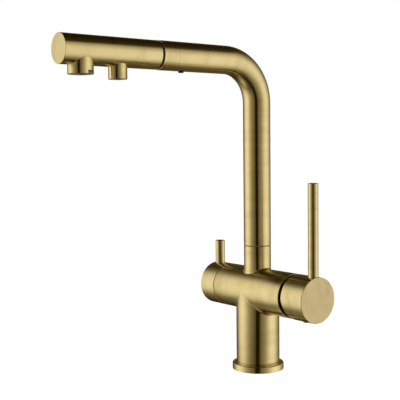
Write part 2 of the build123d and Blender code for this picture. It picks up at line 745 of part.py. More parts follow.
def half_moon(start, end):
    """A half disc, the opening of each filter disc."""
    moon = rod_x(MOON_R, start, end)
    return moon & block(
        (min(start, end), max(start, end)),
        (MOON_STEP, MOON_R),
        (BARREL_Z - MOON_R, BARREL_Z + MOON_R),
    )


def make_filter_fixed_disc():
    start = CAVITY_X - SEAT_T
    disc = rod_x(CHAMBER_R - FIT, start, start - FILTER_DISC_T)
    return disc - half_moon(start, start - FILTER_DISC_T)


def make_filter_moving_disc():
    start = CAVITY_X - SEAT_T - FILTER_DISC_T - RUN
    disc = rod_x(CHAMBER_R - GAP, start, start - FILTER_DISC_T)
    turned = half_moon(start, start - FILTER_DISC_T).rotate(
        Axis((0, 0, BARREL_Z), (1, 0, 0)), 180
    )
    return disc - turned


def spindle_groove(depth_x):
    """The groove of the spindle's ring seal, as a ring."""
    ring = rod_x(SPINDLE_R, depth_x, depth_x - ORING_W)
    return ring - rod_x(SPINDLE_R - ORING_W / 2, depth_x, depth_x - ORING_W)


def make_filter_spindle():
    foot = spindle_back() + SPINDLE_FOOT_T
    spindle = rod_x(SPINDLE_FOOT_R, foot, spindle_back())
    spindle += rod_x(SPINDLE_R, spindle_back(), CAP_FACE_X + CAP_SKIN)
    return spindle - spindle_groove(CAVITY_X - SPINDLE_ORING_FROM)


def make_spindle_seal():
    return spindle_groove(CAVITY_X - SPINDLE_ORING_FROM)


def make_filter_handle():
    cap = rod_x(BODY_R, CAP_X, CAP_FACE_X)
    cap = broken(cap, "X", CAP_FACE_X)
    cap = broken(cap, "X", CAP_X)
    cap -= rod_x(BODY_R - CAP_WALL, CAP_X, CAP_X - CAP_CUP)
    cap -= rod_x(SPINDLE_R + FIT, CAP_X - CAP_CUP, CAP_FACE_X + CAP_SKIN - FIT)
    return cap - lever_socket(CAP_LEVER_X, 0.0)


# ---------------------------------------------------------------- swivel
def spigot_foot():
    return NECK_TOP - NECK_BORE_DEPTH + GAP


def slip_ring_places():
    """The lower edge of each slip ring."""
    return [spigot_foot() + SLIP_INSET, NECK_TOP - SLIP_INSET - SLIP_RING_H]


def make_swivel_washer():
    washer = rod_z(TUBE_R - GAP, NECK_TOP, NECK_TOP + WASHER)
    return washer - rod_z(SPIGOT_R + GAP / 2, NECK_TOP, NECK_TOP + WASHER)


def make_spigot():
    """The brass foot of the spout, which turns in the neck."""
    spigot = rod_z(SPIGOT_R, spigot_foot(), SEAM_Z)
    spigot += rod_z(TUBE_IN_R - FIT, SEAM_Z, SEAM_Z + SPIGOT_PLUG)
    for low in slip_ring_places():
        groove = rod_z(SPIGOT_R, low - FIT, low + SLIP_RING_H + FIT)
        spigot -= groove - rod_z(SPIGOT_R - SLIP_GROOVE, low - FIT, low + SLIP_RING_H + FIT)
    lock = rod_z(SPIGOT_R, LOCK_Z - LOCK_GROOVE_H / 2, LOCK_Z + LOCK_GROOVE_H / 2)
    lock -= rod_z(
        SPIGOT_R - LOCK_GROOVE, LOCK_Z - LOCK_GROOVE_H / 2, LOCK_Z + LOCK_GROOVE_H / 2
    )
    spigot -= lock
    return spigot - rod_z(SPIGOT_BORE_R, spigot_foot(), SEAM_Z + SPIGOT_PLUG)


def make_slip_rings():
    rings = []
    for low in slip_ring_places():
        ring = rod_z(NECK_BORE_R - RUN, low, low + SLIP_RING_H)
        rings.append(ring - rod_z(SPIGOT_R - SLIP_GROOVE + FIT, low, low + SLIP_RING_H))
    return rings


def make_lock_screw():
    """The dog-point screw at the back of the neck."""
    outer = TUBE_R - EDGE
    tip = SPIGOT_R - LOCK_GROOVE + GAP
    shoulder = NECK_BORE_R + FIT
    screw = rod_y(LOCK_SCREW_R, shoulder, outer, z=LOCK_Z)
    screw += rod_y(LOCK_TIP_R, tip, shoulder, z=LOCK_Z)
    socket = Plane(origin=(0, outer, LOCK_Z), z_dir=(0, -1, 0)) * RegularPolygon(LOCK_TIP_R, 6)
    return screw - extrude(socket, LOCK_TIP_R)


# ---------------------------------------------------------------- spout
def make_spout_tube():
    tube = pipe(TUBE_R, TUBE_IN_R, SEAM_Z, ARM_END)
    tube = broken(tube, "Z", SEAM_Z)
    tube -= rod_z(DOCK_SCREW_R + FIT, ARM_Z - 2 * TUBE_R, ARM_Z, y=-DOCK_SCREW_REACH)
    return tube


def make_dock_sleeve():
    """The black socket in the arm's end, with the flange that shows."""
    sleeve = rod_y(TUBE_IN_R - FIT, DOCK_BACK, ARM_END)
    sleeve += rod_y(TUBE_R - BAND_STEP, ARM_END, BAND_END)
    sleeve -= rod_y(DOCK_BORE_R, DOCK_BACK, BAND_END)
    return sleeve - rod_z(
        DOCK_SCREW_STEM_R + FIT, ARM_Z - TUBE_R, ARM_Z - DOCK_BORE_R, y=-DOCK_SCREW_REACH
    )


def make_dock_screw():
    low = ARM_Z - TUBE_R - DOCK_SCREW_PROUD
    seat = ARM_Z - TUBE_IN_R
    head = rod_z(DOCK_SCREW_R, low, seat, y=-DOCK_SCREW_REACH)
    head = rounded(head, "Z", low, DOCK_SCREW_PROUD / 2)
    return head + rod_z(
        DOCK_SCREW_STEM_R, seat, ARM_Z - DOCK_BORE_R - GAP, y=-DOCK_SCREW_REACH
    )


def make_pull_hose():
    return pipe(HOSE_R, HOSE_R - HOSE_WALL, FERRULE_LIFT + FERRULE_H, HOSE_END)


def make_filter_hose():
    return pipe(
        INNER_HOSE_R, INNER_HOSE_R - INNER_HOSE_WALL, FERRULE_LIFT + FERRULE_H, HOSE_END
    )


def make_hose_ferrule():
    top = FERRULE_LIFT + FERRULE_H
    ferrule = rod_z(FERRULE_R, FERRULE_LIFT, top)
    return ferrule - rod_z(HOSE_R - HOSE_WALL, FERRULE_LIFT, top)


# ---------------------------------------------------------------- spray head
def notch_block(width, inner, outer, low, high):
    """A radial block through the main outlet's rim, at the notch."""
    key = block((inner, outer), (-width / 2, width / 2), (low, high))
    return Pos(0, MAIN_OUTLET_Y, 0) * Rot(0, 0, NOTCH_ANGLE) * key


def make_head_shell():
    """The brass sleeve of the spray head with its two outlet collars."""
    main_rim = ARM_Z - MAIN_OUTLET_DROP
    filter_rim = ARM_Z - FILTER_OUTLET_DROP
    shell = rod_y(HEAD_R, HEAD_BACK, HEAD_FACE)
    shell = broken(shell, "Y", HEAD_FACE)
    shell = broken(shell, "Y", HEAD_BACK)
    shell += rod_z(MAIN_OUTLET_R, main_rim, ARM_Z, y=MAIN_OUTLET_Y)
    shell += rod_z(FILTER_OUTLET_R, filter_rim, ARM_Z, y=FILTER_OUTLET_Y)
    shell -= rod_y(HEAD_IN_R, HEAD_BACK, HEAD_FACE + HEAD_END_WALL)
    shell -= rod_z(MAIN_OUTLET_R - OUTLET_WALL, main_rim, ARM_Z, y=MAIN_OUTLET_Y)
    shell -= rod_z(FILTER_OUTLET_R - OUTLET_WALL, filter_rim, ARM_Z, y=FILTER_OUTLET_Y)
    return shell - notch_block(
        NOTCH_W,
        MAIN_OUTLET_R / 2,
        MAIN_OUTLET_R + OVERCUT,
        main_rim - OVERCUT,
        main_rim + NOTCH_H,
    )


def make_head_core():
    """The plastic waterway inside the spray head."""
    end = HEAD_FACE + HEAD_END_WALL + CORE_END_GAP
    seat = ARM_Z - AERATOR_SEAT
    low = ARM_Z - 2 * HEAD_R
    way_z = ARM_Z + MIXED_WAY_RISE
    core = rod_y(CORE_R, INLET_BACK, end)
    core -= rod_z(MAIN_OUTLET_R - OUTLET_WALL, low, seat, y=MAIN_OUTLET_Y)
    core -= rod_z(FILTER_OUTLET_R - OUTLET_WALL, low, seat, y=FILTER_OUTLET_Y)
    core -= rod_y(FILTER_WAY_R, INLET_BACK, FILTER_OUTLET_Y)
    core -= rod_z(FILTER_WAY_R, seat, ARM_Z, y=FILTER_OUTLET_Y)
    core -= rod_y(MIXED_WAY_R, INLET_BACK, MAIN_OUTLET_Y, z=way_z)
    core -= rod_z(MIXED_WAY_R, seat, way_z, y=MAIN_OUTLET_Y)
    groove = rod_y(INLET_HOLE_PITCH + 2 * INLET_HOLE_R, INLET_BACK, INLET_BACK - MANIFOLD_GROOVE)
    groove -= rod_y(FILTER_WAY_R + FILTER_LIP, INLET_BACK, INLET_BACK - MANIFOLD_GROOVE)
    return core - groove


def make_head_inlet():
    """The tail that docks in the arm and takes the hose."""
    tail_end = HEAD_BACK + TAIL
    inlet = rod_y(DOCK_BORE_R - GAP, HEAD_BACK, tail_end)
    inlet += rod_y(HEAD_IN_R - FIT, HEAD_BACK, INLET_BACK)
    inlet -= rod_y(INNER_HOSE_R - INNER_HOSE_WALL, INLET_BACK, tail_end)
    for angle in range(45, 360, 90):
        turn = math.radians(angle)
        inlet -= rod_y(
            INLET_HOLE_R,
            INLET_BACK,
            tail_end,
            x=INLET_HOLE_PITCH * math.cos(turn),
            z=ARM_Z + INLET_HOLE_PITCH * math.sin(turn),
        )
    return inlet


def make_hose_nut():
    """The nut that joins the hose to the tail."""
    start = HEAD_BACK + TAIL
    nut = Plane(origin=(0, start, ARM_Z), z_dir=(0, 1, 0)) * RegularPolygon(HOSE_NUT_R, 6)
    return extrude(nut, HOSE_NUT_L) - rod_y(HOSE_R + FIT, start, start + HOSE_NUT_L)


def make_check_valves():
    start = INLET_BACK - VALVE_FROM
    places = [(MIXED_WAY_R, ARM_Z + MIXED_WAY_RISE), (FILTER_WAY_R, ARM_Z)]
    valves = []
    for radius, z in places:
        valve = rod_y(radius - FIT, start, start - VALVE_L, z=z)
        valves.append(valve - rod_y(radius / 2, start, start - VALVE_L, z=z))
    return valves


def aerator_ring(radius, y, drop):
    """A sleeve inside an outlet, with a shoulder over its insert."""
    low = ARM_Z - drop + AERATOR_RECESS
    top = ARM_Z - AERATOR_SEAT - GASKET_T
    step = low + INSERT_RECESS + INSERT_T
    outer = radius - OUTLET_WALL - FIT
    ring = rod_z(outer, low, top, y=y)
    ring -= rod_z(outer - AERATOR_WALL, low, step, y=y)
    return ring - rod_z(outer - 2 * AERATOR_WALL, step, top, y=y)


def aerator_insert(radius, y, drop):
    """The disc with the stream holes."""
    low = ARM_Z - drop + AERATOR_RECESS + INSERT_RECESS
    reach = radius - OUTLET_WALL - AERATOR_WALL - 2 * FIT
    disc = rod_z(reach, low, low + INSERT_T, y=y)
    rows = int((reach - MESH_RIM) / MESH_STEP)
    holes = []
    for row in range(-rows, rows + 1):
        across = row * MESH_STEP * math.sqrt(3) / 2
        for column in range(-rows, rows + 1):
            along = (column + 0.5 * (row % 2)) * MESH_STEP
            if math.hypot(along, across) < reach - MESH_RIM:
                holes.append(rod_z(MESH_HOLE_R, low, low + INSERT_T, along, y + across))
    return disc - holes


def aerator_gasket(radius, y, bore):
    seat = ARM_Z - AERATOR_SEAT
    gasket = rod_z(radius - OUTLET_WALL - FIT, seat - GASKET_T, seat, y=y)
    return gasket - rod_z(bore, seat - GASKET_T, seat, y=y)


def make_aerator_housing():
    low = ARM_Z - MAIN_OUTLET_DROP + AERATOR_RECESS
    ring = aerator_ring(MAIN_OUTLET_R, MAIN_OUTLET_Y, MAIN_OUTLET_DROP)
    inner = MAIN_OUTLET_R - OUTLET_WALL - AERATOR_WALL / 2
    high = ARM_Z - MAIN_OUTLET_DROP + NOTCH_H - LUG_GAP
    lug = notch_block(LUG_W, inner, MAIN_OUTLET_R - OUTLET_WALL / 2, low, high)
    return ring + lug


def save(name, shape):
    """Write one node, a single solid or a group of them."""
    solids = shape if isinstance(shape, list) else [shape]
    pieces = [solid for item in solids for solid in item.solids()]
    export_step(pieces[0] if len(pieces) == 1 else Compound(pieces), f"parts/{name}.step")


NODES = {
    "base_ring": make_base_ring,
    "base_gasket": make_base_gasket,
    "base_manifold": make_base_manifold,
    "tap_body": make_tap_body,
    "cartridge_base": make_cartridge_base,
    "cartridge_port_seals": make_port_seals,
    "cartridge_fixed_disc": make_fixed_disc,
    "cartridge_housing": make_cartridge_housing,
    "cartridge_moving_disc": make_moving_disc,
    "disc_driver": make_disc_driver,
    "cartridge_carrier": make_carrier,
    "stem_pin": make_stem_pin,
    "cartridge_stem": make_stem,
    "cartridge_nut": make_cartridge_nut,
    "trim_dome": make_trim_dome,
    "mixer_handle": make_mixer_handle,
    "mixer_lever": lambda: make_lever(LEVER_X, STUB_FOOT, LEVER_TOP),
    "handle_screw": make_handle_screw,
    "handle_screw_plug": make_screw_plug,
    "filter_headwork": make_filter_headwork,
    "headwork_seal": make_headwork_seal,
    "filter_seat": make_filter_seat,
    "filter_fixed_disc": make_filter_fixed_disc,
    "filter_moving_disc": make_filter_moving_disc,
    "filter_spindle": make_filter_spindle,
    "spindle_seal": make_spindle_seal,
    "filter_handle": make_filter_handle,
    "filter_lever": lambda: make_lever(CAP_LEVER_X, SPINDLE_R + 2 * FIT, CAP_LEVER_TOP),
    "swivel_washer": make_swivel_washer,
    "spout_spigot": make_spigot,
    "swivel_slip_rings": make_slip_rings,
    "spout_lock_screw": make_lock_screw,
    "spout_tube": make_spout_tube,
    "dock_sleeve": make_dock_sleeve,
    "dock_screw": make_dock_screw,
    "pull_hose": make_pull_hose,
    "filter_hose": make_filter_hose,
    "hose_ferrule": make_hose_ferrule,
    "head_shell": make_head_shell,
    "head_core": make_head_core,
    "head_inlet": make_head_inlet,
    "hose_nut": make_hose_nut,
    "head_check_valves": make_check_valves,
    "aerator_housing": make_aerator_housing,
    "aerator_insert": lambda: aerator_insert(MAIN_OUTLET_R, MAIN_OUTLET_Y, MAIN_OUTLET_DROP),
    "aerator_gasket": lambda: aerator_gasket(MAIN_OUTLET_R, MAIN_OUTLET_Y, MIXED_WAY_R + MIXED_LIP),
    "filter_aerator_ring": lambda: aerator_ring(
        FILTER_OUTLET_R, FILTER_OUTLET_Y, FILTER_OUTLET_DROP
    ),
    "filter_aerator_insert": lambda: aerator_insert(
        FILTER_OUTLET_R, FILTER_OUTLET_Y, FILTER_OUTLET_DROP
    ),
    "filter_aerator_gasket": lambda: aerator_gasket(
        FILTER_OUTLET_R, FILTER_OUTLET_Y, FILTER_WAY_R + FILTER_LIP
    ),
}

os.makedirs("parts", exist_ok=True)
for node, make in NODES.items():
    save(node, make())
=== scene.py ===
import bpy
import bmesh
import json
import math
from mathutils import Matrix, Vector


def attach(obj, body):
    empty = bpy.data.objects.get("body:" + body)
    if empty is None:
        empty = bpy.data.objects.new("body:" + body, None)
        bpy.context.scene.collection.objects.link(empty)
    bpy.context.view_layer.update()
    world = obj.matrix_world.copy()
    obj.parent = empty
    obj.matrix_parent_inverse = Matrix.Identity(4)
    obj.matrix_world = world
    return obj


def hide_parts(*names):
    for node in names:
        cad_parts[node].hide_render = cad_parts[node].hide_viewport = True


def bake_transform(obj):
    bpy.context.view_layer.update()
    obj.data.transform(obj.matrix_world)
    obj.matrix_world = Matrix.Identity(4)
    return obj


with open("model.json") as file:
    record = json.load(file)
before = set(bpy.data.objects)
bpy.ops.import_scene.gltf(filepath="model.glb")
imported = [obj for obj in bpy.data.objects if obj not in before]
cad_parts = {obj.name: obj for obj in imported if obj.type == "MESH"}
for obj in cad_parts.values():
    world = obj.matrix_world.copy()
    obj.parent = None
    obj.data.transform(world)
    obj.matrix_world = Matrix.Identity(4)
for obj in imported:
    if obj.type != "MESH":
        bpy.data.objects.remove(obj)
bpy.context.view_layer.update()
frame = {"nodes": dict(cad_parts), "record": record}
CAD = frame["nodes"]

# Sizes in millimetres, as in the part's source, from the middle of the base at deck level.
MM = 0.001
FIT = 0.05            # between pieces that are assembled and stay put
OVERCUT = 1.0         # how far a cut runs past the face that it opens

# ---------------------------------------------------------------- spout
TUBE_R = 13.8         # outside of riser and arm
TUBE_WALL = 1.3
BEND_R = 41.0         # centre line of the bend
ARM_Z = 311.6         # arm axis above the deck
ARM_END = -120.4      # arm's open end
BAND_END = -122.3     # dock's black flange, from the arm's end to here
BAND_R = 13.0
DOCK_BACK = -88.4
DOCK_BORE_R = 9.5
DOCK_SCREW_Y = -93.4
DOCK_SCREW_R = 2.6
DOCK_SCREW_STEM_R = 1.6
DOCK_SCREW_PROUD = 1.2
SOCKET_R = 1.1        # in the dock screw's head
SOCKET_DEPTH = 0.9
DOCK_SCREW_TIP = 9.8  # under the arm's axis
TUBE_EDGE = 0.3       # roundings left on sharp corners, here and below
SLEEVE_EDGE = 0.2
DOCK_SCREW_EDGE = 0.3

# ---------------------------------------------------------------- body
BODY_R = 22.1         # barrel, mixer handle and filter handle
COLUMN_R = 22.0
COLUMN_FOOT = 3.0
BARREL_Z = 81.0
BARREL_RIGHT = 55.0
BARREL_LEFT = -45.2
NECK_TOP = 126.3
NECK_BORE_R = 12.0
NECK_BORE_FLOOR = 99.7
HOSE_BORE_R = 8.2
MANIFOLD_TOP = 12.0
MANIFOLD_R = 20.0
CARTRIDGE_BORE_R = 17.45
CARTRIDGE_FLOOR = 21.0
VALVE_BORE_R = 11.0
VALVE_FLOOR = -24.0
NECK_BLEND = 2.0
COLUMN_BLEND = 3.0
RING_R = 26.2
RING_H = 6.5
RING_ROUND = 1.1
RING_LEDGE = 3.0
RING_SEAT_R = 22.05
RING_BORE_R = 19.0
GASKET_GROOVE = (20.35, 24.0)   # radii of the groove under the base ring
GASKET_H = 1.8
WASHER = 0.6
WASHER_R = (11.75, 13.5)
SEAM_Z = 126.95       # riser's foot
BODY_EDGE = 0.48

# ---------------------------------------------------------------- cover behind the handle
PIVOT_X = 40.0        # mixer lever's pin
CARTRIDGE_R = 17.4
DOME_BACK = 49.0
DOME_R = 23.0         # sphere about the pin
DOME_WALL = 2.0
DOME_TIP_R = 12.2
DOME_HOLE_R = 10.4
FLANGE_R = 21.0       # dome's flange, let into the barrel's end
FLANGE_T = 1.0

# ---------------------------------------------------------------- handles
HANDLE_X = 58.5       # rear rim
HANDLE_FACE_X = 87.1
HANDLE_CUP_X = 66.0
HANDLE_IN_R = 19.5
HANDLE_RELIEF = 10.0  # degrees, lower half of the rear rim
BOSS_R = 8.0
BOSS_X = 63.5
HANDLE_EDGE = 0.6
STEM_HOLE_R = 4.05
STEM_HOLE_END = 75.0
LEVER_R = 5.0
LEVER_ROUND = 0.8
LEVER_SEAT_Z = 100.6
LEVER_X = 80.7
LEVER_TOP = 191.7
PLUG_X = 71.5
PLUG_R = 3.2
PLUG_Z = (57.9, 61.3)
PLUG_EDGE = 0.5
CAP_X = -45.7         # filter handle's rear rim
CAP_FACE_X = -67.5
CAP_CUP_X = -56.7
CAP_IN_R = 19.6
CAP_EDGE = 0.35
SPINDLE_HOLE_R = 4.05
SPINDLE_HOLE_END = -65.15
CAP_LEVER_X = -61.5
CAP_LEVER_TOP = 126.8

# ---------------------------------------------------------------- spray head and hoses
HEAD_R = 13.45
HEAD_IN_R = 11.9
HEAD_BACK = -122.35
HEAD_FACE = -221.5
HEAD_END_WALL = 2.0
HEAD_EDGE = 0.35
HEAD_LIP = 0.5        # bore left as turned, at the head's open end
MAIN_Y = -200.4       # outlet axes, radii and rims
MAIN_R = 11.5
MAIN_RIM = 290.4
FILTER_Y = -162.9
FILTER_R = 8.6
FILTER_RIM = 287.6
OUTLET_WALL = 1.4
OUTLET_EDGE = 0.3
OUTLET_BREAK = 0.25   # broken edge of an outlet's bore
OUTLET_ROOT = 5.0     # under the head's axis, inside its wall
NOTCH_ANGLE = 25.0
NOTCH_W = 7.8
NOTCH_H = 3.0
NOTCH_EDGE = 0.4
LUG_W = 7.0
LUG_EDGE = 0.3
LUG_GAP = 0.8         # open notch over the lug
LUG_SUNK = 0.7        # how far the lug reaches into its ring
AERATOR_RECESS = 0.6
AERATOR_WALL = 1.4
AERATOR_TOP = 299.6
AERATOR_EDGE = 0.2
INSERT_SEAT = 4.4     # ring's shoulder above its lower end
HOSE_R = 7.0
HOSE_WALL = 1.8
INNER_HOSE_R = 3.0
INNER_HOSE_WALL = 1.0
HOSE_FOOT = 14.5
HOSE_END = -104.35

# ---------------------------------------------------------------- corners of the meshes
TUBE_SIDES = 128
OUTLET_SIDES = 120
RING_SIDES = 96
ROD_SIDES = 72
SCREW_SIDES = 48
BEND_STEPS = 36
HOSE_STEPS = 12       # along the arm
BREAK_ANGLE = 35.0    # degrees: a sharper corner is rounded
SHADE_ANGLE = 40.0    # degrees: a sharper corner shows as an edge
JOINED_ANGLE = 30.0   # the same, where two pieces were joined
QUARTER = 48          # in a quarter turn round the neck and the column
SPREAD = 12           # rows of faces from a blend out over the barrel
BLEND_ROWS = 7
TEE_X = 29.0          # half length of the barrel's middle, which carries both blends


# ---------------------------------------------------------------- modelling
def deselect_all():
    if bpy.context.object and bpy.context.object.mode != "OBJECT":
        bpy.ops.object.mode_set(mode="OBJECT")
    bpy.ops.object.select_all(action="DESELECT")


def take(piece):
    """Make one piece the only one that is selected."""
    deselect_all()
    piece.select_set(True)
    bpy.context.view_layer.objects.active = piece


def pick_corners(test):
    """In edit mode, select the corners that pass a test."""
    bpy.ops.mesh.select_all(action="DESELECT")
    bpy.ops.mesh.select_mode(type="VERT")
    mesh = bmesh.from_edit_mesh(bpy.context.object.data)
    for corner in mesh.verts:
        corner.select = test(corner)
    mesh.select_flush_mode()
    bmesh.update_edit_mesh(bpy.context.object.data)


def pick_open(test):
    """Select the corners on open edges whose place, in millimetres, passes a test."""
    pick_corners(
        lambda corner: any(edge.is_boundary for edge in corner.link_edges)
        and test(corner.co / MM)
    )


def draw_on(steps, axis="Z", centre=(0, 0, 0)):
    """Extrude the selected loop round an axis through (along, radius) steps."""
    at = "XYZ".index(axis)
    for (start, radius), (end, next_radius) in zip(steps, steps[1:]):
        move = [0, 0, 0]
        move[at] = (end - start) * MM
        bpy.ops.mesh.extrude_region_move(TRANSFORM_OT_translate={"value": move})
        widen = [next_radius / radius] * 3
        widen[at] = 1
        middle = [x * MM for x in centre]
        middle[at] = end * MM
        bpy.ops.transform.resize(value=widen, center_override=middle)


def apply_modifier(piece, kind, **settings):
    take(piece)
    modifier = piece.modifiers.new(kind.lower(), kind)
    for name, value in settings.items():
        setattr(modifier, name, value)
    bpy.ops.object.modifier_apply(modifier=modifier.name)


def ease_edges(piece, width, segments=3):
    """Round the sharp corners by a small width, as a file or a linisher leaves them."""
    apply_modifier(
        piece, "BEVEL", width=width * MM, segments=segments,
        limit_method="ANGLE", angle_limit=math.radians(BREAK_ANGLE),
    )


def smooth(piece, angle=SHADE_ANGLE):
    take(piece)
    bpy.ops.object.shade_smooth_by_angle(angle=math.radians(angle))
    apply_modifier(piece, "WEIGHTED_NORMAL", keep_sharp=True)


LAY = {"X": (0, math.pi / 2, 0), "Y": (-math.pi / 2, 0, 0), "Z": (0, 0, 0)}


def lay_along(piece, axis, place):
    """Turn a piece modelled on Z to its own axis, and put it in its place."""
    take(piece)
    piece.rotation_euler = LAY[axis]
    piece.location = [x * MM for x in place]
    bpy.ops.object.transform_apply(location=True, rotation=True, scale=True)


def turned(name, profile, axis="Z", place=(0, 0, 0), ring=False, sides=TUBE_SIDES):
    """A piece turned on a lathe from (along, radius) steps: solid, or a closed ring."""
    deselect_all()
    start, radius = profile[0]
    bpy.ops.mesh.primitive_circle_add(
        vertices=sides, radius=radius * MM, location=(0, 0, start * MM), enter_editmode=True
    )
    piece = bpy.context.object
    piece.name = name
    bpy.ops.object.mode_set(mode="OBJECT")
    bpy.ops.object.transform_apply(location=True)
    bpy.ops.object.mode_set(mode="EDIT")
    bpy.ops.mesh.select_all(action="SELECT")
    draw_on(profile + profile[:1] if ring else profile)
    if not ring:
        bpy.ops.mesh.edge_face_add()
        pick_corners(lambda corner: len(corner.link_faces) == 2)
        bpy.ops.mesh.edge_face_add()
    bpy.ops.mesh.select_all(action="SELECT")
    bpy.ops.mesh.remove_doubles(threshold=0.001 * MM)
    bpy.ops.mesh.normals_make_consistent(inside=False)
    bpy.ops.object.mode_set(mode="OBJECT")
    lay_along(piece, axis, place)
    return piece


def arc(centre, radius, start, end, steps=10, out=0.0):
    """(along, radius) steps on an arc, between two angles in degrees from the axis. Its
    centre lies on the axis, or out from it."""
    turns = [math.radians(start + (end - start) * i / steps) for i in range(steps + 1)]
    return [(centre + radius * math.cos(t), out + radius * math.sin(t)) for t in turns]


def combine(piece, other, operation):
    """Join a second solid to a piece, or cut it away, and throw the tool away."""
    apply_modifier(piece, "BOOLEAN", object=other, operation=operation, solver="EXACT")
    bpy.data.objects.remove(other)


# ---------------------------------------------------------------- materials
def linear(hex_colour):
    """An sRGB hex colour as the linear values that a shader takes."""
    parts = [int(hex_colour[i:i + 2], 16) / 255 for i in (1, 3, 5)]
    flat = [x / 12.92 if x <= 0.04045 else ((x + 0.055) / 1.055) ** 2.4 for x in parts]
    return (*flat, 1.0)


def add_node(tree, kind, settings=None, inputs=None, stops=None):
    """One node with its settings, its inputs as values or as links from other nodes, and
    a colour ramp's stops as (place, colour)."""
    node = tree.nodes.new(kind)
    for name, value in (settings or {}).items():
        setattr(node, name, value)
    for name, value in (inputs or {}).items():
        if isinstance(value, bpy.types.NodeSocket):
            tree.links.new(value, node.inputs[name])
        else:
            node.inputs[name].default_value = value
    if stops:
        elements = node.color_ramp.elements
        elements.remove(elements[1])
        elements[0].position, elements[0].color = stops[0]
        for position, colour in stops[1:]:
            elements.new(position).color = colour
    return node


def new_material(name):
    material = bpy.data.materials.new(name)
    material.use_nodes = True
    tree = material.node_tree
    tree.nodes.clear()
    shader = add_node(tree, "ShaderNodeBsdfPrincipled")
    add_node(tree, "ShaderNodeOutputMaterial", {}, {"Surface": shader.outputs[0]})
    return material, tree, shader


def finish_shader(tree, shader, colour, grain, gloss_range, bump, bump_mm):
    """Colour, uneven gloss and a light bump, all from one grain."""
    gloss = add_node(
        tree, "ShaderNodeMapRange", {},
        {"Value": grain, "From Min": 0.3, "From Max": 0.7, "To Min": gloss_range[0],
         "To Max": gloss_range[1]},
    )
    bumped = add_node(
        tree, "ShaderNodeBump", {},
        {"Height": grain, "Strength": bump, "Distance": bump_mm * MM},
    )
    tree.links.new(colour.outputs[0], shader.inputs["Base Color"])
    tree.links.new(gloss.outputs[0], shader.inputs["Roughness"])
    tree.links.new(bumped.outputs[0], shader.inputs["Normal"])


BRASS = ("#CDB880", "#E2CE96", "#EAD79F")       # deep, middle and light tones
# Darker copies of the brass tones: painted shade for the handles' end faces.
FACE_BRASS = ("#B4A071", "#C5B184", "#CCB98C")  # the same, where an end face looks duller
TONES_AT = (0.45, 0.75, 1.0)
# The real brushing is about 0.1 mm from line to line, too fine to show. It is drawn as soft
# bands, with lines down to 0.3 mm in them.
HAIRLINE = 9.0        # mm across a band
HAIRLINE_RUN = 30.0   # mm that one line runs before it fades
PATINA = 18.0         # mm across a patch of slightly deeper tone
PATINA_SHARE = 0.5
BRUSHED = 1.0         # how much wider a reflection spreads across the lines than along them


def brushed_brass(name, spacing, across=None, tones=BRASS):
    """Antique brass, brushed with fine abrasive and lacquered: hairlines round each turned
    part smear reflections across themselves and keep them crisp along, with a faint
    unevenness of tone. Without a direction across the lines, the piece's own attributes say
    how far along it a place lies and which way it runs there."""
    material, tree, shader = new_material(name)
    where = add_node(tree, "ShaderNodeTexCoord").outputs["Object"]
    place, spread = where, across
    if not across:
        run = add_node(tree, "ShaderNodeAttribute", {"attribute_name": "run"})
        spread = add_node(
            tree, "ShaderNodeAttribute", {"attribute_name": "along"}
        ).outputs["Vector"]
        place = add_node(
            tree, "ShaderNodeCombineXYZ", {}, {"X": run.outputs["Fac"]}
        ).outputs[0]
    spread = add_node(
        tree, "ShaderNodeVectorTransform",
        {"vector_type": "VECTOR", "convert_from": "OBJECT", "convert_to": "WORLD"},
        {"Vector": spread},
    )
    tree.links.new(spread.outputs[0], shader.inputs["Tangent"])
    lines = add_node(
        tree, "ShaderNodeMapping", {},
        {"Vector": place, "Scale": [1 / (s * MM) for s in spacing]},
    )
    grain = add_node(
        tree, "ShaderNodeTexNoise", {},
        {"Vector": lines.outputs[0], "Scale": 1.0, "Detail": 5.0, "Roughness": 0.6},
    ).outputs["Fac"]
    patches = add_node(
        tree, "ShaderNodeTexNoise", {}, {"Vector": where, "Scale": 1 / (PATINA * MM)}
    ).outputs["Fac"]
    tone = add_node(
        tree, "ShaderNodeMath", {"operation": "MULTIPLY_ADD"},
        {0: patches, 1: PATINA_SHARE, 2: grain},
    )
    colour = add_node(
        tree, "ShaderNodeValToRGB", {}, {"Fac": tone.outputs[0]},
        [(at, linear(shade)) for at, shade in zip(TONES_AT, tones)],
    )
    finish_shader(tree, shader, colour, grain, (0.15, 0.21), bump=0.12, bump_mm=0.02)
    shader.inputs["Metallic"].default_value = 1.0
    shader.inputs["Anisotropic"].default_value = BRUSHED
    return material


def flecked(name, base, deep, grain_mm, rough, bump_mm, metallic=0.0, ior=1.5):
    """A plain finish with a fine grain: two close tones, an uneven gloss and a light bump."""
    material, tree, shader = new_material(name)
    place = add_node(tree, "ShaderNodeTexCoord").outputs["Object"]
    grain = add_node(
        tree, "ShaderNodeTexNoise", {},
        {"Vector": place, "Scale": 1 / (grain_mm * MM), "Detail": 3.0},
    ).outputs["Fac"]
    colour = add_node(
        tree, "ShaderNodeValToRGB", {}, {"Fac": grain},
        [(0.3, linear(deep)), (0.7, linear(base))],
    )
    finish_shader(
        tree, shader, colour, grain, (rough - 0.06, rough + 0.06), bump=0.3, bump_mm=bump_mm
    )
    shader.inputs["Metallic"].default_value = metallic
    if not metallic:
        shader.inputs["IOR"].default_value = ior
    return material


YARN = 4.5            # mm along the hose from one strand to the next
STRANDS = 12.0        # strands round the hose, each way


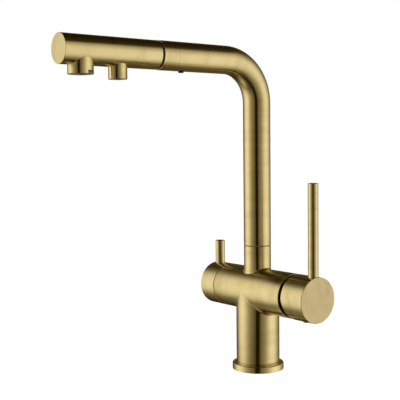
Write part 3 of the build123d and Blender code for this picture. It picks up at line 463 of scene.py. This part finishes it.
def hose_braid(name):
    """Nylon yarn braided over a rubber hose: crossed strands, matt, with dark gaps."""
    material, tree, shader = new_material(name)
    place = add_node(tree, "ShaderNodeTexCoord").outputs["Object"]
    split = add_node(tree, "ShaderNodeSeparateXYZ", {}, {0: place})
    rise = add_node(
        tree, "ShaderNodeMath", {"operation": "SUBTRACT"}, {0: split.outputs["Z"], 1: ARM_Z * MM}
    )
    turn = add_node(
        tree, "ShaderNodeMath", {"operation": "ARCTAN2"},
        {0: split.outputs["X"], 1: rise.outputs[0]},
    )
    strands = []
    for way in (1, -1):
        along = add_node(
            tree, "ShaderNodeMath", {"operation": "MULTIPLY"},
            {0: split.outputs["Y"], 1: way * 2 * math.pi / (YARN * MM)},
        )
        phase = add_node(
            tree, "ShaderNodeMath", {"operation": "MULTIPLY_ADD"},
            {0: turn.outputs[0], 1: STRANDS, 2: along.outputs[0]},
        )
        strand = add_node(tree, "ShaderNodeMath", {"operation": "SINE"}, {0: phase.outputs[0]})
        strands.append(strand.outputs[0])
    weave = add_node(
        tree, "ShaderNodeMath", {"operation": "MAXIMUM"}, {0: strands[0], 1: strands[1]}
    ).outputs[0]
    colour = add_node(
        tree, "ShaderNodeValToRGB", {}, {"Fac": weave},
        [(0.05, linear("#1B1B1D")), (0.45, linear("#55565A")), (1.0, linear("#77787C"))],
    )
    finish_shader(tree, shader, colour, weave, (0.5, 0.65), bump=0.6, bump_mm=0.3)
    return material


# Barrel and handles, turned about X: a light lies along them as a soft band.
ROUND_X = brushed_brass(
    "brushed_brass_round_x", (HAIRLINE, HAIRLINE_RUN, HAIRLINE_RUN), (1.0, 0.0, 0.0)
)
# Spray head, turned about Y.
ROUND_Y = brushed_brass(
    "brushed_brass_round_y", (HAIRLINE_RUN, HAIRLINE, HAIRLINE_RUN), (0.0, 1.0, 0.0)
)
# Column, neck, base ring, levers and outlets, turned about Z: lights stand on them as stripes
# with crisp sides.
ROUND_Z = brushed_brass(
    "brushed_brass_round_z", (HAIRLINE_RUN, HAIRLINE_RUN, HAIRLINE), (0.0, 0.0, 1.0)
)
# Spout, brushed round the tube all the way through its bend.
ALONG_SPOUT = brushed_brass("brushed_brass_along_spout", (HAIRLINE, HAIRLINE, HAIRLINE))
# Handles' end faces, brushed straight: one even tone, darker than the brass elsewhere as painted
# shade.
FACE_X = brushed_brass(
    "brushed_brass_face_x", (HAIRLINE_RUN, HAIRLINE, HAIRLINE_RUN), (0.0, 1.0, 0.0), FACE_BRASS
)
# Spray head's end face, brushed straight: one even tone.
FACE_Y = brushed_brass(
    "brushed_brass_face_y", (HAIRLINE, HAIRLINE_RUN, HAIRLINE_RUN), (1.0, 0.0, 0.0)
)

SLOTS = {
    # Machined brass: yellow metal with a fine turned grain.
    "cast_brass": flecked(
        "machined_brass", "#E0C27C", "#CDAB63", grain_mm=0.8, rough=0.32, bump_mm=0.02,
        metallic=1.0,
    ),
    # Moulded nylon with carbon black in it: dull, near black.
    "black_plastic": flecked(
        "moulded_black_nylon", "#0D0C0B", "#070706", grain_mm=0.5, rough=0.6, bump_mm=0.02,
        ior=1.42,
    ),
    # Moulded acetal: satin, warm grey.
    "grey_plastic": flecked(
        "moulded_grey_plastic", "#6E6961", "#5E5A53", grain_mm=0.5, rough=0.45, bump_mm=0.02
    ),
    # Moulded acetal: satin, milk white.
    "white_plastic": flecked(
        "moulded_white_acetal", "#E6E6E1", "#DADAD4", grain_mm=0.5, rough=0.4, bump_mm=0.02
    ),
    # Moulded acetal: satin, blue.
    "blue_plastic": flecked(
        "moulded_blue_acetal", "#47719F", "#3D6491", grain_mm=0.5, rough=0.4, bump_mm=0.02
    ),
    # Alumina ceramic, lapped: hard, smooth and slightly warm white.
    "ceramic": flecked(
        "lapped_ceramic", "#F1EFE8", "#E7E4DB", grain_mm=0.3, rough=0.15, bump_mm=0.005,
        ior=1.77,
    ),
    # Nitrile rubber, moulded: dull black.
    "rubber": flecked(
        "nitrile_rubber", "#1C1C1C", "#121212", grain_mm=0.4, rough=0.7, bump_mm=0.03
    ),
    # PTFE filled with bronze powder and turned: waxy, dull brown.
    "ptfe": flecked(
        "bronze_filled_ptfe", "#8A6E42", "#765C36", grain_mm=0.4, rough=0.5, bump_mm=0.02,
        ior=1.38,
    ),
    # Stainless steel, drawn and pickled: grey, fine satin.
    "steel": flecked(
        "stainless_steel", "#C4C3C0", "#B2B1AE", grain_mm=0.4, rough=0.28, bump_mm=0.01,
        metallic=1.0,
    ),
    "hose_braid": hose_braid("braided_nylon_hose"),
}


def finish_piece(piece, body, slot, node, material, *zones):
    """Give a piece its material and its body, and hide the CAD node that it stands for. A zone is
    another material and the test of the faces that carry it; the first that fits counts."""
    piece.data.materials.clear()
    piece.data.materials.append(material)
    for polygon in piece.data.polygons:
        polygon.material_index = 0
    for index, (finish, belongs) in enumerate(zones, 1):
        piece.data.materials.append(finish)
        for polygon in piece.data.polygons:
            if polygon.material_index == 0 and belongs(polygon):
                polygon.material_index = index
    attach(piece, body)
    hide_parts(node)


def flat_end(axis, place):
    """The test of a turned piece's flat end, for the straight-brushed finish."""
    at = "XYZ".index(axis)

    def test(polygon):
        faces_along = abs(abs(polygon.normal[at]) - 1) < 0.01
        return faces_along and abs(polygon.center[at] - place * MM) < 0.2 * MM

    return test


# ---------------------------------------------------------------- base and body
def make_base_ring():
    rounded_edge = arc(RING_H - RING_ROUND, RING_ROUND, 90, 0, 9, RING_R - RING_ROUND)
    groove_in, groove_out = GASKET_GROOVE
    ring = turned("brass_base_ring", [
        (0, groove_out), (0, RING_R), *rounded_edge, (RING_H, RING_SEAT_R),
        (RING_LEDGE, RING_SEAT_R), (RING_LEDGE, RING_BORE_R), (0, RING_BORE_R), (0, groove_in),
        (GASKET_H, groove_in), (GASKET_H, groove_out),
    ], ring=True)
    smooth(ring)
    finish_piece(ring, "tap_body", "antique_brass", "base_ring", ROUND_Z)


def blend_rows(tube_r, ball_r, side, turn):
    """A ball rolled in the corner of a tube and the barrel: the arc between where it
    touches the barrel and where it touches the tube, at one turn round the tube."""
    reach, depth = tube_r + ball_r, BODY_R + ball_r
    x, y = reach * math.cos(turn), reach * math.sin(turn)
    z = side * math.sqrt(depth * depth - y * y)
    centre = Vector((x, y, z))
    on_barrel = Vector((x, y * BODY_R / depth, z * BODY_R / depth))
    on_tube = Vector((tube_r * math.cos(turn), tube_r * math.sin(turn), z))
    first, last = on_barrel - centre, on_tube - centre
    spread = first.angle(last)
    rows = []
    for i in range(BLEND_ROWS + 1):
        share = i / BLEND_ROWS
        a = math.sin((1 - share) * spread) / math.sin(spread)
        b = math.sin(share * spread) / math.sin(spread)
        rows.append(centre + a * first + b * last)
    return rows


def barrel_rows(start, side, step):
    """From a blend's edge out to the frame of the barrel's middle, over its surface."""
    around = math.atan2(start.y, side * start.z)
    quarter, part = divmod(step, QUARTER)
    half = QUARTER // 2
    signs = [(1, 1), (-1, 1), (-1, -1), (1, -1)][quarter]
    if quarter % 2:
        part = QUARTER - part
    if part <= half:
        x, turn = TEE_X, math.pi / 2 * part / half
    else:
        x, turn = TEE_X * (QUARTER - part) / half, math.pi / 2
    x, turn = x * signs[0], turn * signs[1]
    rows = []
    for i in range(SPREAD, 0, -1):
        share = i / SPREAD
        over = around + (turn - around) * share
        rows.append(Vector((
            start.x + (x - start.x) * share,
            BODY_R * math.sin(over),
            side * BODY_R * math.cos(over),
        )))
    return rows


def barrel_middle():
    """The barrel's middle with a blend up to the neck and one down to the column. No bevel
    follows such a crease as it fades out, so its faces are worked out here."""
    mesh = bmesh.new()
    lift = Vector((0, 0, BARREL_Z))
    for tube_r, ball_r, side in ((TUBE_R, NECK_BLEND, 1), (COLUMN_R, COLUMN_BLEND, -1)):
        rows = []
        for step in range(4 * QUARTER):
            blend = blend_rows(tube_r, ball_r, side, math.pi / 2 * step / QUARTER)
            places = barrel_rows(blend[0], side, step) + blend
            rows.append([mesh.verts.new((place + lift) * MM) for place in places])
        for one, two in zip(rows, rows[1:] + rows[:1]):
            for i in range(len(one) - 1):
                mesh.faces.new((one[i], one[i + 1], two[i + 1], two[i]))
    bmesh.ops.remove_doubles(mesh, verts=mesh.verts, dist=0.001 * MM)
    data = bpy.data.meshes.new("brass_tap_body")
    mesh.to_mesh(data)
    mesh.free()
    body = bpy.data.objects.new("brass_tap_body", data)
    bpy.context.scene.collection.objects.link(body)
    return body


def make_tap_body():
    """Column, barrel and neck of one casting: its four ends are drawn on from the middle."""
    body = barrel_middle()
    take(body)
    bpy.ops.object.mode_set(mode="EDIT")
    pick_open(lambda at: at.z > BARREL_Z and abs(at.x) < TEE_X - 1)
    bpy.ops.mesh.extrude_region_move()
    bpy.ops.transform.resize(value=(1, 1, 0), center_override=(0, 0, NECK_TOP * MM))
    draw_on([
        (NECK_TOP, TUBE_R), (NECK_TOP, NECK_BORE_R), (NECK_BORE_FLOOR, NECK_BORE_R),
        (NECK_BORE_FLOOR, HOSE_BORE_R), (MANIFOLD_TOP, HOSE_BORE_R), (MANIFOLD_TOP, MANIFOLD_R),
        (COLUMN_FOOT, MANIFOLD_R), (COLUMN_FOOT, COLUMN_R),
    ])
    pick_open(lambda at: COLUMN_FOOT + 1 < at.z < BARREL_Z and abs(at.x) < TEE_X - 1)
    bpy.ops.mesh.extrude_region_move()
    bpy.ops.transform.resize(value=(1, 1, 0), center_override=(0, 0, COLUMN_FOOT * MM))
    bpy.ops.mesh.select_all(action="SELECT")
    bpy.ops.mesh.remove_doubles(threshold=0.002 * MM)
    recess_r = FLANGE_R + FIT
    recess_x = BARREL_RIGHT - FLANGE_T
    pick_open(lambda at: at.x > TEE_X - 1)
    draw_on([
        (TEE_X, BODY_R), (BARREL_RIGHT, BODY_R), (BARREL_RIGHT, recess_r), (recess_x, recess_r),
        (recess_x, CARTRIDGE_BORE_R), (CARTRIDGE_FLOOR, CARTRIDGE_BORE_R),
    ], "X", (0, 0, BARREL_Z))
    bpy.ops.mesh.edge_face_add()
    pick_open(lambda at: at.x < 1 - TEE_X)
    draw_on([
        (-TEE_X, BODY_R), (BARREL_LEFT, BODY_R), (BARREL_LEFT, VALVE_BORE_R),
        (VALVE_FLOOR, VALVE_BORE_R),
    ], "X", (0, 0, BARREL_Z))
    bpy.ops.mesh.edge_face_add()
    bpy.ops.mesh.select_all(action="SELECT")
    bpy.ops.mesh.normals_make_consistent(inside=False)
    bpy.ops.object.mode_set(mode="OBJECT")
    ease_edges(body, BODY_EDGE)
    take(body)
    bpy.ops.object.shade_smooth_by_angle(angle=math.radians(SHADE_ANGLE))

    def upright(polygon):
        x, y, z = polygon.center / MM
        return z > BARREL_Z + BODY_R or z < BARREL_Z and math.hypot(x, y) < COLUMN_R + 0.2

    finish_piece(body, "tap_body", "antique_brass", "tap_body", ROUND_X, (ROUND_Z, upright))


def make_trim_dome():
    """The round black cover behind the mixer handle, about the lever's pin, with its flange. Its
    black is the plastic's own and also painted shade for the dark gap between the barrel and the
    handle.
    """
    in_r, dome_in_r = CARTRIDGE_R - DOME_WALL, DOME_R - DOME_WALL
    outer = [math.degrees(math.asin(r / DOME_R)) for r in (CARTRIDGE_R, DOME_TIP_R)]
    inner = [math.degrees(math.asin(r / dome_in_r)) for r in (DOME_HOLE_R, in_r)]
    dome = turned("black_trim_dome", [
        (DOME_BACK, in_r), (DOME_BACK, CARTRIDGE_R), (BARREL_RIGHT - FLANGE_T, CARTRIDGE_R),
        (BARREL_RIGHT - FLANGE_T, FLANGE_R), (BARREL_RIGHT, FLANGE_R),
        *arc(PIVOT_X, DOME_R, *outer), *arc(PIVOT_X, dome_in_r, *inner),
    ], "X", (0, 0, BARREL_Z), ring=True)
    smooth(dome)
    # Black plastic; its black also stands as painted shade in the gap behind the handle.
    finish_piece(dome, "tap_body", "black_plastic", "trim_dome", SLOTS["black_plastic"])


def make_swivel_washer():
    in_r, out_r = WASHER_R
    washer = turned("swivel_washer_ring", [
        (NECK_TOP, in_r), (NECK_TOP, out_r), (NECK_TOP + WASHER, out_r), (NECK_TOP + WASHER, in_r),
    ], ring=True)
    smooth(washer)
    finish_piece(washer, "tap_body", "ptfe", "swivel_washer", SLOTS["ptfe"])


# ---------------------------------------------------------------- handles
def make_mixer_handle():
    """A deep cup with a boss for the lever's stem. The lower half of its rear rim slopes away,
    which leaves room to tilt."""
    handle = turned("brass_mixer_handle", [
        (HANDLE_FACE_X, BODY_R), (HANDLE_X, BODY_R), (HANDLE_X, HANDLE_IN_R),
        (HANDLE_CUP_X, HANDLE_IN_R), (HANDLE_CUP_X, BOSS_R), (BOSS_X, BOSS_R),
        (BOSS_X, STEM_HOLE_R), (STEM_HOLE_END, STEM_HOLE_R),
    ], "X", (0, 0, BARREL_Z))
    take(handle)
    bpy.ops.object.mode_set(mode="EDIT")
    bpy.ops.mesh.select_all(action="SELECT")
    slope = math.radians(HANDLE_RELIEF)
    bpy.ops.mesh.bisect(
        plane_co=(HANDLE_X * MM, 0, BARREL_Z * MM),
        plane_no=(-math.cos(slope), 0, -math.sin(slope)),
        use_fill=True, clear_outer=True, threshold=1e-7,
    )
    bpy.ops.object.mode_set(mode="OBJECT")
    ease_edges(handle, HANDLE_EDGE)
    smooth(handle)
    finish_piece(handle, "mixer_handle", "antique_brass", "mixer_handle",
                 ROUND_X, (FACE_X, flat_end("X", HANDLE_FACE_X)))


def make_lever(name, node, body, x, top):
    rod = turned(name, [(LEVER_SEAT_Z, LEVER_R), (top, LEVER_R)], "Z", (x, 0, 0), sides=ROD_SIDES)
    ease_edges(rod, LEVER_ROUND, 4)
    smooth(rod)
    finish_piece(rod, body, "antique_brass", node, ROUND_Z)


def make_screw_plug():
    low, high = PLUG_Z
    plug = turned("grey_screw_plug", [(low, PLUG_R), (high, PLUG_R)], "Z", (PLUG_X, 0, 0),
                  sides=SCREW_SIDES)
    ease_edges(plug, PLUG_EDGE)
    smooth(plug)
    finish_piece(plug, "mixer_handle", "grey_plastic", "handle_screw_plug", SLOTS["grey_plastic"])


def make_filter_handle():
    cap = turned("brass_filter_handle", [
        (CAP_FACE_X, BODY_R), (CAP_X, BODY_R), (CAP_X, CAP_IN_R), (CAP_CUP_X, CAP_IN_R),
        (CAP_CUP_X, SPINDLE_HOLE_R), (SPINDLE_HOLE_END, SPINDLE_HOLE_R),
    ], "X", (0, 0, BARREL_Z))
    ease_edges(cap, CAP_EDGE)
    smooth(cap)
    finish_piece(cap, "filter_handle", "antique_brass", "filter_handle",
                 ROUND_X, (FACE_X, flat_end("X", CAP_FACE_X)))


# ---------------------------------------------------------------- spout
def bent_tube(name, radius, start_z, steps, end_y):
    """A tube drawn up the riser, spun round the bend and drawn out along the arm."""
    deselect_all()
    bpy.ops.mesh.primitive_circle_add(vertices=TUBE_SIDES, radius=radius * MM)
    tube = bpy.context.object
    tube.name = name
    tube.location.z = start_z * MM
    bpy.ops.object.transform_apply(location=True)
    bpy.ops.object.mode_set(mode="EDIT")
    bpy.ops.mesh.select_all(action="SELECT")
    bend_z = ARM_Z - BEND_R
    bpy.ops.mesh.extrude_region_move(
        TRANSFORM_OT_translate={"value": (0, 0, (bend_z - start_z) * MM)}
    )
    bpy.ops.mesh.spin(
        steps=BEND_STEPS, angle=math.pi / 2,
        center=(0, -BEND_R * MM, bend_z * MM), axis=(-1, 0, 0),
    )
    for _ in range(steps):
        bpy.ops.mesh.extrude_region_move(
            TRANSFORM_OT_translate={"value": (0, (end_y + BEND_R) / steps * MM, 0)}
        )
    bpy.ops.mesh.select_all(action="SELECT")
    bpy.ops.mesh.remove_doubles(threshold=0.001 * MM)
    bpy.ops.mesh.normals_make_consistent(inside=False)
    bpy.ops.object.mode_set(mode="OBJECT")
    return tube


def mark_run(piece):
    """Store how far along the spout each corner lies, and which way the tube runs there,
    for the hairlines round it."""
    run = piece.data.attributes.new("run", "FLOAT", "POINT")
    along = piece.data.attributes.new("along", "FLOAT_VECTOR", "POINT")
    bend_y, bend_z = -BEND_R * MM, (ARM_Z - BEND_R) * MM
    for corner, length, way in zip(piece.data.vertices, run.data, along.data):
        y, z = corner.co.y - bend_y, corner.co.z - bend_z
        out, over = max(y, 0.0), max(z, 0.0)
        length.value = min(z, 0.0) + BEND_R * MM * math.atan2(over, out) - min(y, 0.0)
        way.vector = Vector((0, -over, out)).normalized()


def make_spout_tube():
    tube = bent_tube("brass_spout_tube", TUBE_R, SEAM_Z, 2, ARM_END)
    apply_modifier(tube, "SOLIDIFY", thickness=TUBE_WALL * MM, offset=-1)
    ease_edges(tube, TUBE_EDGE)
    smooth(tube)
    mark_run(tube)
    finish_piece(tube, "spout", "antique_brass", "spout_tube", ALONG_SPOUT)


def make_dock_sleeve():
    """The black sleeve that the head docks in: its flange shows as a band past the arm's end."""
    sleeve_r = TUBE_R - TUBE_WALL - FIT
    sleeve = turned("black_dock_sleeve", [
        (BAND_END, DOCK_BORE_R), (BAND_END, BAND_R), (ARM_END, BAND_R), (ARM_END, sleeve_r),
        (DOCK_BACK, sleeve_r), (DOCK_BACK, DOCK_BORE_R),
    ], "Y", (0, 0, ARM_Z), ring=True)
    ease_edges(sleeve, SLEEVE_EDGE, 2)
    smooth(sleeve)
    finish_piece(sleeve, "spout", "black_plastic", "dock_sleeve", SLOTS["black_plastic"])


def make_dock_screw():
    low = ARM_Z - TUBE_R - DOCK_SCREW_PROUD
    seat = ARM_Z - TUBE_R + TUBE_WALL
    screw = turned("black_dock_screw", [
        (low + SOCKET_DEPTH, SOCKET_R), (low, SOCKET_R), (low, DOCK_SCREW_R),
        (seat, DOCK_SCREW_R), (seat, DOCK_SCREW_STEM_R),
        (ARM_Z - DOCK_SCREW_TIP, DOCK_SCREW_STEM_R),
    ], "Z", (0, DOCK_SCREW_Y, 0), sides=SCREW_SIDES)
    ease_edges(screw, DOCK_SCREW_EDGE)
    smooth(screw)
    finish_piece(screw, "spout", "black_plastic", "dock_screw", SLOTS["black_plastic"])


def make_hoses():
    """The braided hose and the filtered-water tube in it, as they lie in the spout. On the real
    tap they draw out with the head; here they are joined to no body.
    """
    for name, node, radius, wall, slot in (
        ("braided_pull_hose", "pull_hose", HOSE_R, HOSE_WALL, "hose_braid"),
        ("white_filter_hose", "filter_hose", INNER_HOSE_R, INNER_HOSE_WALL, "white_plastic"),
    ):
        hose = bent_tube(name, radius, HOSE_FOOT, HOSE_STEPS, HOSE_END)
        apply_modifier(hose, "SOLIDIFY", thickness=wall * MM, offset=-1)
        smooth(hose)
        hose.data.materials.append(SLOTS[slot])
        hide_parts(node)
        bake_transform(hose)


# ---------------------------------------------------------------- spray head
OUTLETS = ((MAIN_Y, MAIN_R, MAIN_RIM), (FILTER_Y, FILTER_R, FILTER_RIM))


def rim_block(name, radii, width, heights, edge):
    """A small block through the main outlet's rim at its notch, with eased edges."""
    (inner, outer), (low, high) = radii, heights
    turn, middle = math.radians(NOTCH_ANGLE), (inner + outer) / 2
    centre = (middle * math.cos(turn), MAIN_Y + middle * math.sin(turn), (low + high) / 2)
    deselect_all()
    bpy.ops.mesh.primitive_cube_add(size=1, location=[x * MM for x in centre])
    block = bpy.context.object
    block.name = name
    block.scale = [x * MM for x in (outer - inner, width, high - low)]
    block.rotation_euler = (0, 0, turn)
    bpy.ops.object.transform_apply(location=True, rotation=True, scale=True)
    ease_edges(block, edge)
    return block


def make_head_shell():
    """The head's tube with its closed front, and an outlet collar under it for each water."""
    inside = HEAD_FACE + HEAD_END_WALL
    shell = turned("brass_head_shell", [
        (HEAD_FACE, HEAD_R), (HEAD_BACK, HEAD_R), (HEAD_BACK, HEAD_IN_R), (inside, HEAD_IN_R),
    ], "Y", (0, 0, ARM_Z))
    ease_edges(shell, HEAD_EDGE)
    for y, radius, rim in OUTLETS:
        collar = turned("collar", [(rim, radius), (ARM_Z - OUTLET_ROOT, radius)], "Z",
                        (0, y, 0), sides=OUTLET_SIDES)
        ease_edges(collar, OUTLET_EDGE)
        combine(shell, collar, "UNION")
    for y, radius, rim in OUTLETS:
        bore_r = radius - OUTLET_WALL
        bore = turned("bore", [
            (rim - OVERCUT, bore_r + OUTLET_BREAK), (rim, bore_r + OUTLET_BREAK),
            (rim + OUTLET_BREAK, bore_r), (ARM_Z, bore_r),
        ], "Z", (0, y, 0), sides=OUTLET_SIDES)
        combine(shell, bore, "DIFFERENCE")
    # The outlets' roots are cleared out of the head's bore, short of its open end.
    hollow = turned("hollow", [(HEAD_BACK - HEAD_LIP, HEAD_IN_R), (inside, HEAD_IN_R)], "Y",
                    (0, 0, ARM_Z))
    combine(shell, hollow, "DIFFERENCE")
    notch = rim_block("notch", (MAIN_R / 2, MAIN_R + OVERCUT), NOTCH_W,
                      (MAIN_RIM - OVERCUT, MAIN_RIM + NOTCH_H), NOTCH_EDGE)
    combine(shell, notch, "DIFFERENCE")
    smooth(shell, JOINED_ANGLE)

    def on_collar(polygon):
        x, _, z = polygon.center / MM
        off_tube = abs(math.hypot(x, z - ARM_Z) - HEAD_R) > 0.6
        return z < ARM_Z - HEAD_R + 0.2 or off_tube and abs(polygon.normal.y) < 0.9

    finish_piece(shell, "spray_head", "antique_brass", "head_shell",
                 ROUND_Y, (FACE_Y, flat_end("Y", HEAD_FACE)), (ROUND_Z, on_collar))


def aerator_ring(name, y, radius, rim):
    """The grey sleeve in an outlet, with its shoulder over the insert."""
    low, outer = rim + AERATOR_RECESS, radius - OUTLET_WALL - FIT
    bore, shoulder = outer - AERATOR_WALL, outer - 2 * AERATOR_WALL
    ring = turned(name, [
        (low, bore), (low, outer), (AERATOR_TOP, outer), (AERATOR_TOP, shoulder),
        (low + INSERT_SEAT, shoulder), (low + INSERT_SEAT, bore),
    ], "Z", (0, y, 0), ring=True, sides=RING_SIDES)
    ease_edges(ring, AERATOR_EDGE, 2)
    return ring


def make_aerators():
    """The two grey rings; the main one has a lug that shows in the notch."""
    housing = aerator_ring("grey_aerator_housing", MAIN_Y, MAIN_R, MAIN_RIM)
    lug = rim_block(
        "lug", (MAIN_R - OUTLET_WALL - LUG_SUNK, MAIN_R - OUTLET_WALL / 2), LUG_W,
        (MAIN_RIM + AERATOR_RECESS, MAIN_RIM + NOTCH_H - LUG_GAP), LUG_EDGE,
    )
    combine(housing, lug, "UNION")
    smooth(housing, JOINED_ANGLE)
    finish_piece(housing, "spray_head", "grey_plastic", "aerator_housing", SLOTS["grey_plastic"])
    ring = aerator_ring("grey_filter_aerator_ring", FILTER_Y, FILTER_R, FILTER_RIM)
    smooth(ring)
    finish_piece(ring, "spray_head", "grey_plastic", "filter_aerator_ring", SLOTS["grey_plastic"])


# ---------------------------------------------------------------- studio
CAMERA_PLACE = (0.65234, -0.55922, 0.22301)     # metres
CAMERA_RIGHT = (0.59842, 0.80112, -0.00998)
CAMERA_UP = (-0.04065, 0.04281, 0.99826)
CAMERA_AHEAD = (-0.80015, 0.59697, -0.05818)
CAMERA_LENS = 75.94   # mm, on a sensor 36 mm wide


def make_camera():
    data = bpy.data.cameras.new("camera")
    data.sensor_width = 36.0
    data.lens = CAMERA_LENS
    data.clip_start, data.clip_end = 0.01, 50
    camera = bpy.data.objects.new("camera", data)
    turn = Matrix((CAMERA_RIGHT, CAMERA_UP, -Vector(CAMERA_AHEAD))).transposed().to_4x4()
    camera.matrix_world = Matrix.Translation(CAMERA_PLACE) @ turn
    bpy.context.scene.collection.objects.link(camera)
    bpy.context.scene.camera = camera


# Two tall soft lights with dark between them, one on the left of the camera and one on its
# right: how bright each is in each direction round the tap, in degrees from the camera's
# side, and at each height above the horizon.
LEFT_ROUND = (
    (-180, 0.08), (-165, 0.08), (-149, 0.13), (-134, 0.36), (-122, 0.67), (-111, 0.88),
    (-99, 0.97), (-86, 0.93), (-73, 0.71), (-60, 0.45), (-44, 0.27), (-27, 0.16), (-21, 0.125),
    (-18, 0.1), (-16.5, 0.02), (-9, 0.0), (180, 0.0),
)
LEFT_UP = (
    (-90, 0.2), (-75, 0.4), (-63, 0.58), (-56, 0.58), (-50, 0.38), (-44, 0.2), (-40, 0.28),
    (-36, 0.42), (-32, 0.56), (-27, 0.73), (-20, 0.9), (-10, 1.0), (0, 1.0), (13, 0.95),
    (20, 0.91), (26, 0.84), (31, 0.74), (36, 0.6), (40, 0.4), (43, 0.13), (46, 0.03),
    (52, 0.015), (90, 0.015),
)
RIGHT_ROUND = (
    (-180, 0.0), (-9, 0.002), (-3, 0.004), (3, 0.04), (7, 0.13), (16, 0.2), (30, 0.3),
    (42, 0.44), (54, 0.65), (64, 0.83), (76, 0.93), (93, 0.91), (108, 0.7), (122, 0.44),
    (139, 0.22), (154, 0.12), (180, 0.1),
)
RIGHT_UP = (
    (-90, 0.03), (-75, 0.1), (-60, 0.32), (-52, 0.52), (-43, 0.73), (-37, 0.86), (-30, 0.94),
    (-22, 1.0), (0, 1.0), (10, 0.92), (17, 0.8), (24, 0.66), (31, 0.51), (37, 0.35),
    (42, 0.16), (44.5, 0.04), (50, 0.03), (90, 0.03),
)
# The light's colour at each level: white where it is full, and browner as it fades.
LIGHT_TINT = (
    (0.0, (0.01, 0.008, 0.002)), (0.03, (0.03, 0.0215, 0.0075)), (0.1, (0.1, 0.0835, 0.048)),
    (0.2, (0.2, 0.178, 0.125)), (0.45, (0.45, 0.428, 0.355)), (0.75, (0.75, 0.738, 0.68)),
    (1.0, (1.0, 0.985, 0.96)),
)
LIGHT_POWER = 1.17


def make_studio_light():
    """The two lights as the world round the tap, which the camera itself sees as white."""
    world = bpy.data.worlds.new("studio")
    bpy.context.scene.world = world
    world.use_nodes = True
    tree = world.node_tree
    tree.nodes.clear()
    way = add_node(tree, "ShaderNodeTexCoord").outputs["Generated"]
    right = (CAMERA_RIGHT[0], CAMERA_RIGHT[1], 0.0)
    front = (CAMERA_RIGHT[1], -CAMERA_RIGHT[0], 0.0)
    sides = [
        add_node(
            tree, "ShaderNodeVectorMath", {"operation": "DOT_PRODUCT"}, {0: way, 1: direction}
        ).outputs["Value"]
        for direction in (right, front)
    ]
    turn = add_node(tree, "ShaderNodeMath", {"operation": "ARCTAN2"}, {0: sides[0], 1: sides[1]})
    turn = add_node(
        tree, "ShaderNodeMath", {"operation": "MULTIPLY_ADD"},
        {0: turn.outputs[0], 1: 0.5 / math.pi, 2: 0.5},
    )
    height = add_node(tree, "ShaderNodeSeparateXYZ", {}, {0: way})
    rise = add_node(tree, "ShaderNodeMath", {"operation": "ARCSINE"}, {0: height.outputs["Z"]})
    rise = add_node(
        tree, "ShaderNodeMath", {"operation": "MULTIPLY_ADD"},
        {0: rise.outputs[0], 1: 1 / math.pi, 2: 0.5},
    )
    level = 0.0
    for around, upwards in ((LEFT_ROUND, LEFT_UP), (RIGHT_ROUND, RIGHT_UP)):
        round_ramp = add_node(
            tree, "ShaderNodeValToRGB", {}, {"Fac": turn.outputs[0]},
            [(a / 360 + 0.5, (v, v, v, 1)) for a, v in around],
        )
        up_ramp = add_node(
            tree, "ShaderNodeValToRGB", {}, {"Fac": rise.outputs[0]},
            [(a / 180 + 0.5, (v, v, v, 1)) for a, v in upwards],
        )
        level = add_node(
            tree, "ShaderNodeMath", {"operation": "MULTIPLY_ADD"},
            {0: round_ramp.outputs[0], 1: up_ramp.outputs[0], 2: level},
        ).outputs[0]
    tint = add_node(
        tree, "ShaderNodeValToRGB", {}, {"Fac": level},
        [(at, (*colour, 1)) for at, colour in LIGHT_TINT],
    )
    seen = add_node(tree, "ShaderNodeLightPath").outputs["Is Camera Ray"]
    studio = add_node(
        tree, "ShaderNodeBackground", {}, {"Color": tint.outputs[0], "Strength": LIGHT_POWER}
    )
    wall = add_node(tree, "ShaderNodeBackground", {}, {"Color": (1, 1, 1, 1)})
    mixed = add_node(
        tree, "ShaderNodeMixShader", {}, {0: seen, 1: studio.outputs[0], 2: wall.outputs[0]}
    )
    add_node(tree, "ShaderNodeOutputWorld", {}, {"Surface": mixed.outputs[0]})


def make_floor():
    """A plain white floor that glows a little, so that it stays as pale as the wall."""
    deselect_all()
    bpy.ops.mesh.primitive_plane_add(size=12)
    floor = bpy.context.object
    floor.name = "studio_floor"
    material, tree, shader = new_material("matt_white_floor")
    shader.inputs["Base Color"].default_value = linear("#F2F2F2")
    shader.inputs["Roughness"].default_value = 1.0
    shader.inputs["Emission Color"].default_value = (1, 1, 1, 1)
    shader.inputs["Emission Strength"].default_value = 0.92
    floor.data.materials.append(material)
    floor.visible_glossy = False


# ---------------------------------------------------------------- make all
make_camera()
make_studio_light()
make_floor()
for subpart in frame["record"]["subparts"]:
    cad_node = CAD[subpart["node"]]
    cad_node.data.materials.clear()
    cad_node.data.materials.append(SLOTS.get(subpart["material_slot"], ROUND_Z))

make_base_ring()
make_tap_body()
make_trim_dome()
make_swivel_washer()
make_mixer_handle()
make_lever("brass_mixer_lever", "mixer_lever", "mixer_handle", LEVER_X, LEVER_TOP)
make_screw_plug()
make_filter_handle()
make_lever("brass_filter_lever", "filter_lever", "filter_handle", CAP_LEVER_X, CAP_LEVER_TOP)
make_spout_tube()
make_dock_sleeve()
make_dock_screw()
make_hoses()
make_head_shell()
make_aerators()

deselect_all()
bpy.context.scene.view_settings.view_transform = "Standard"
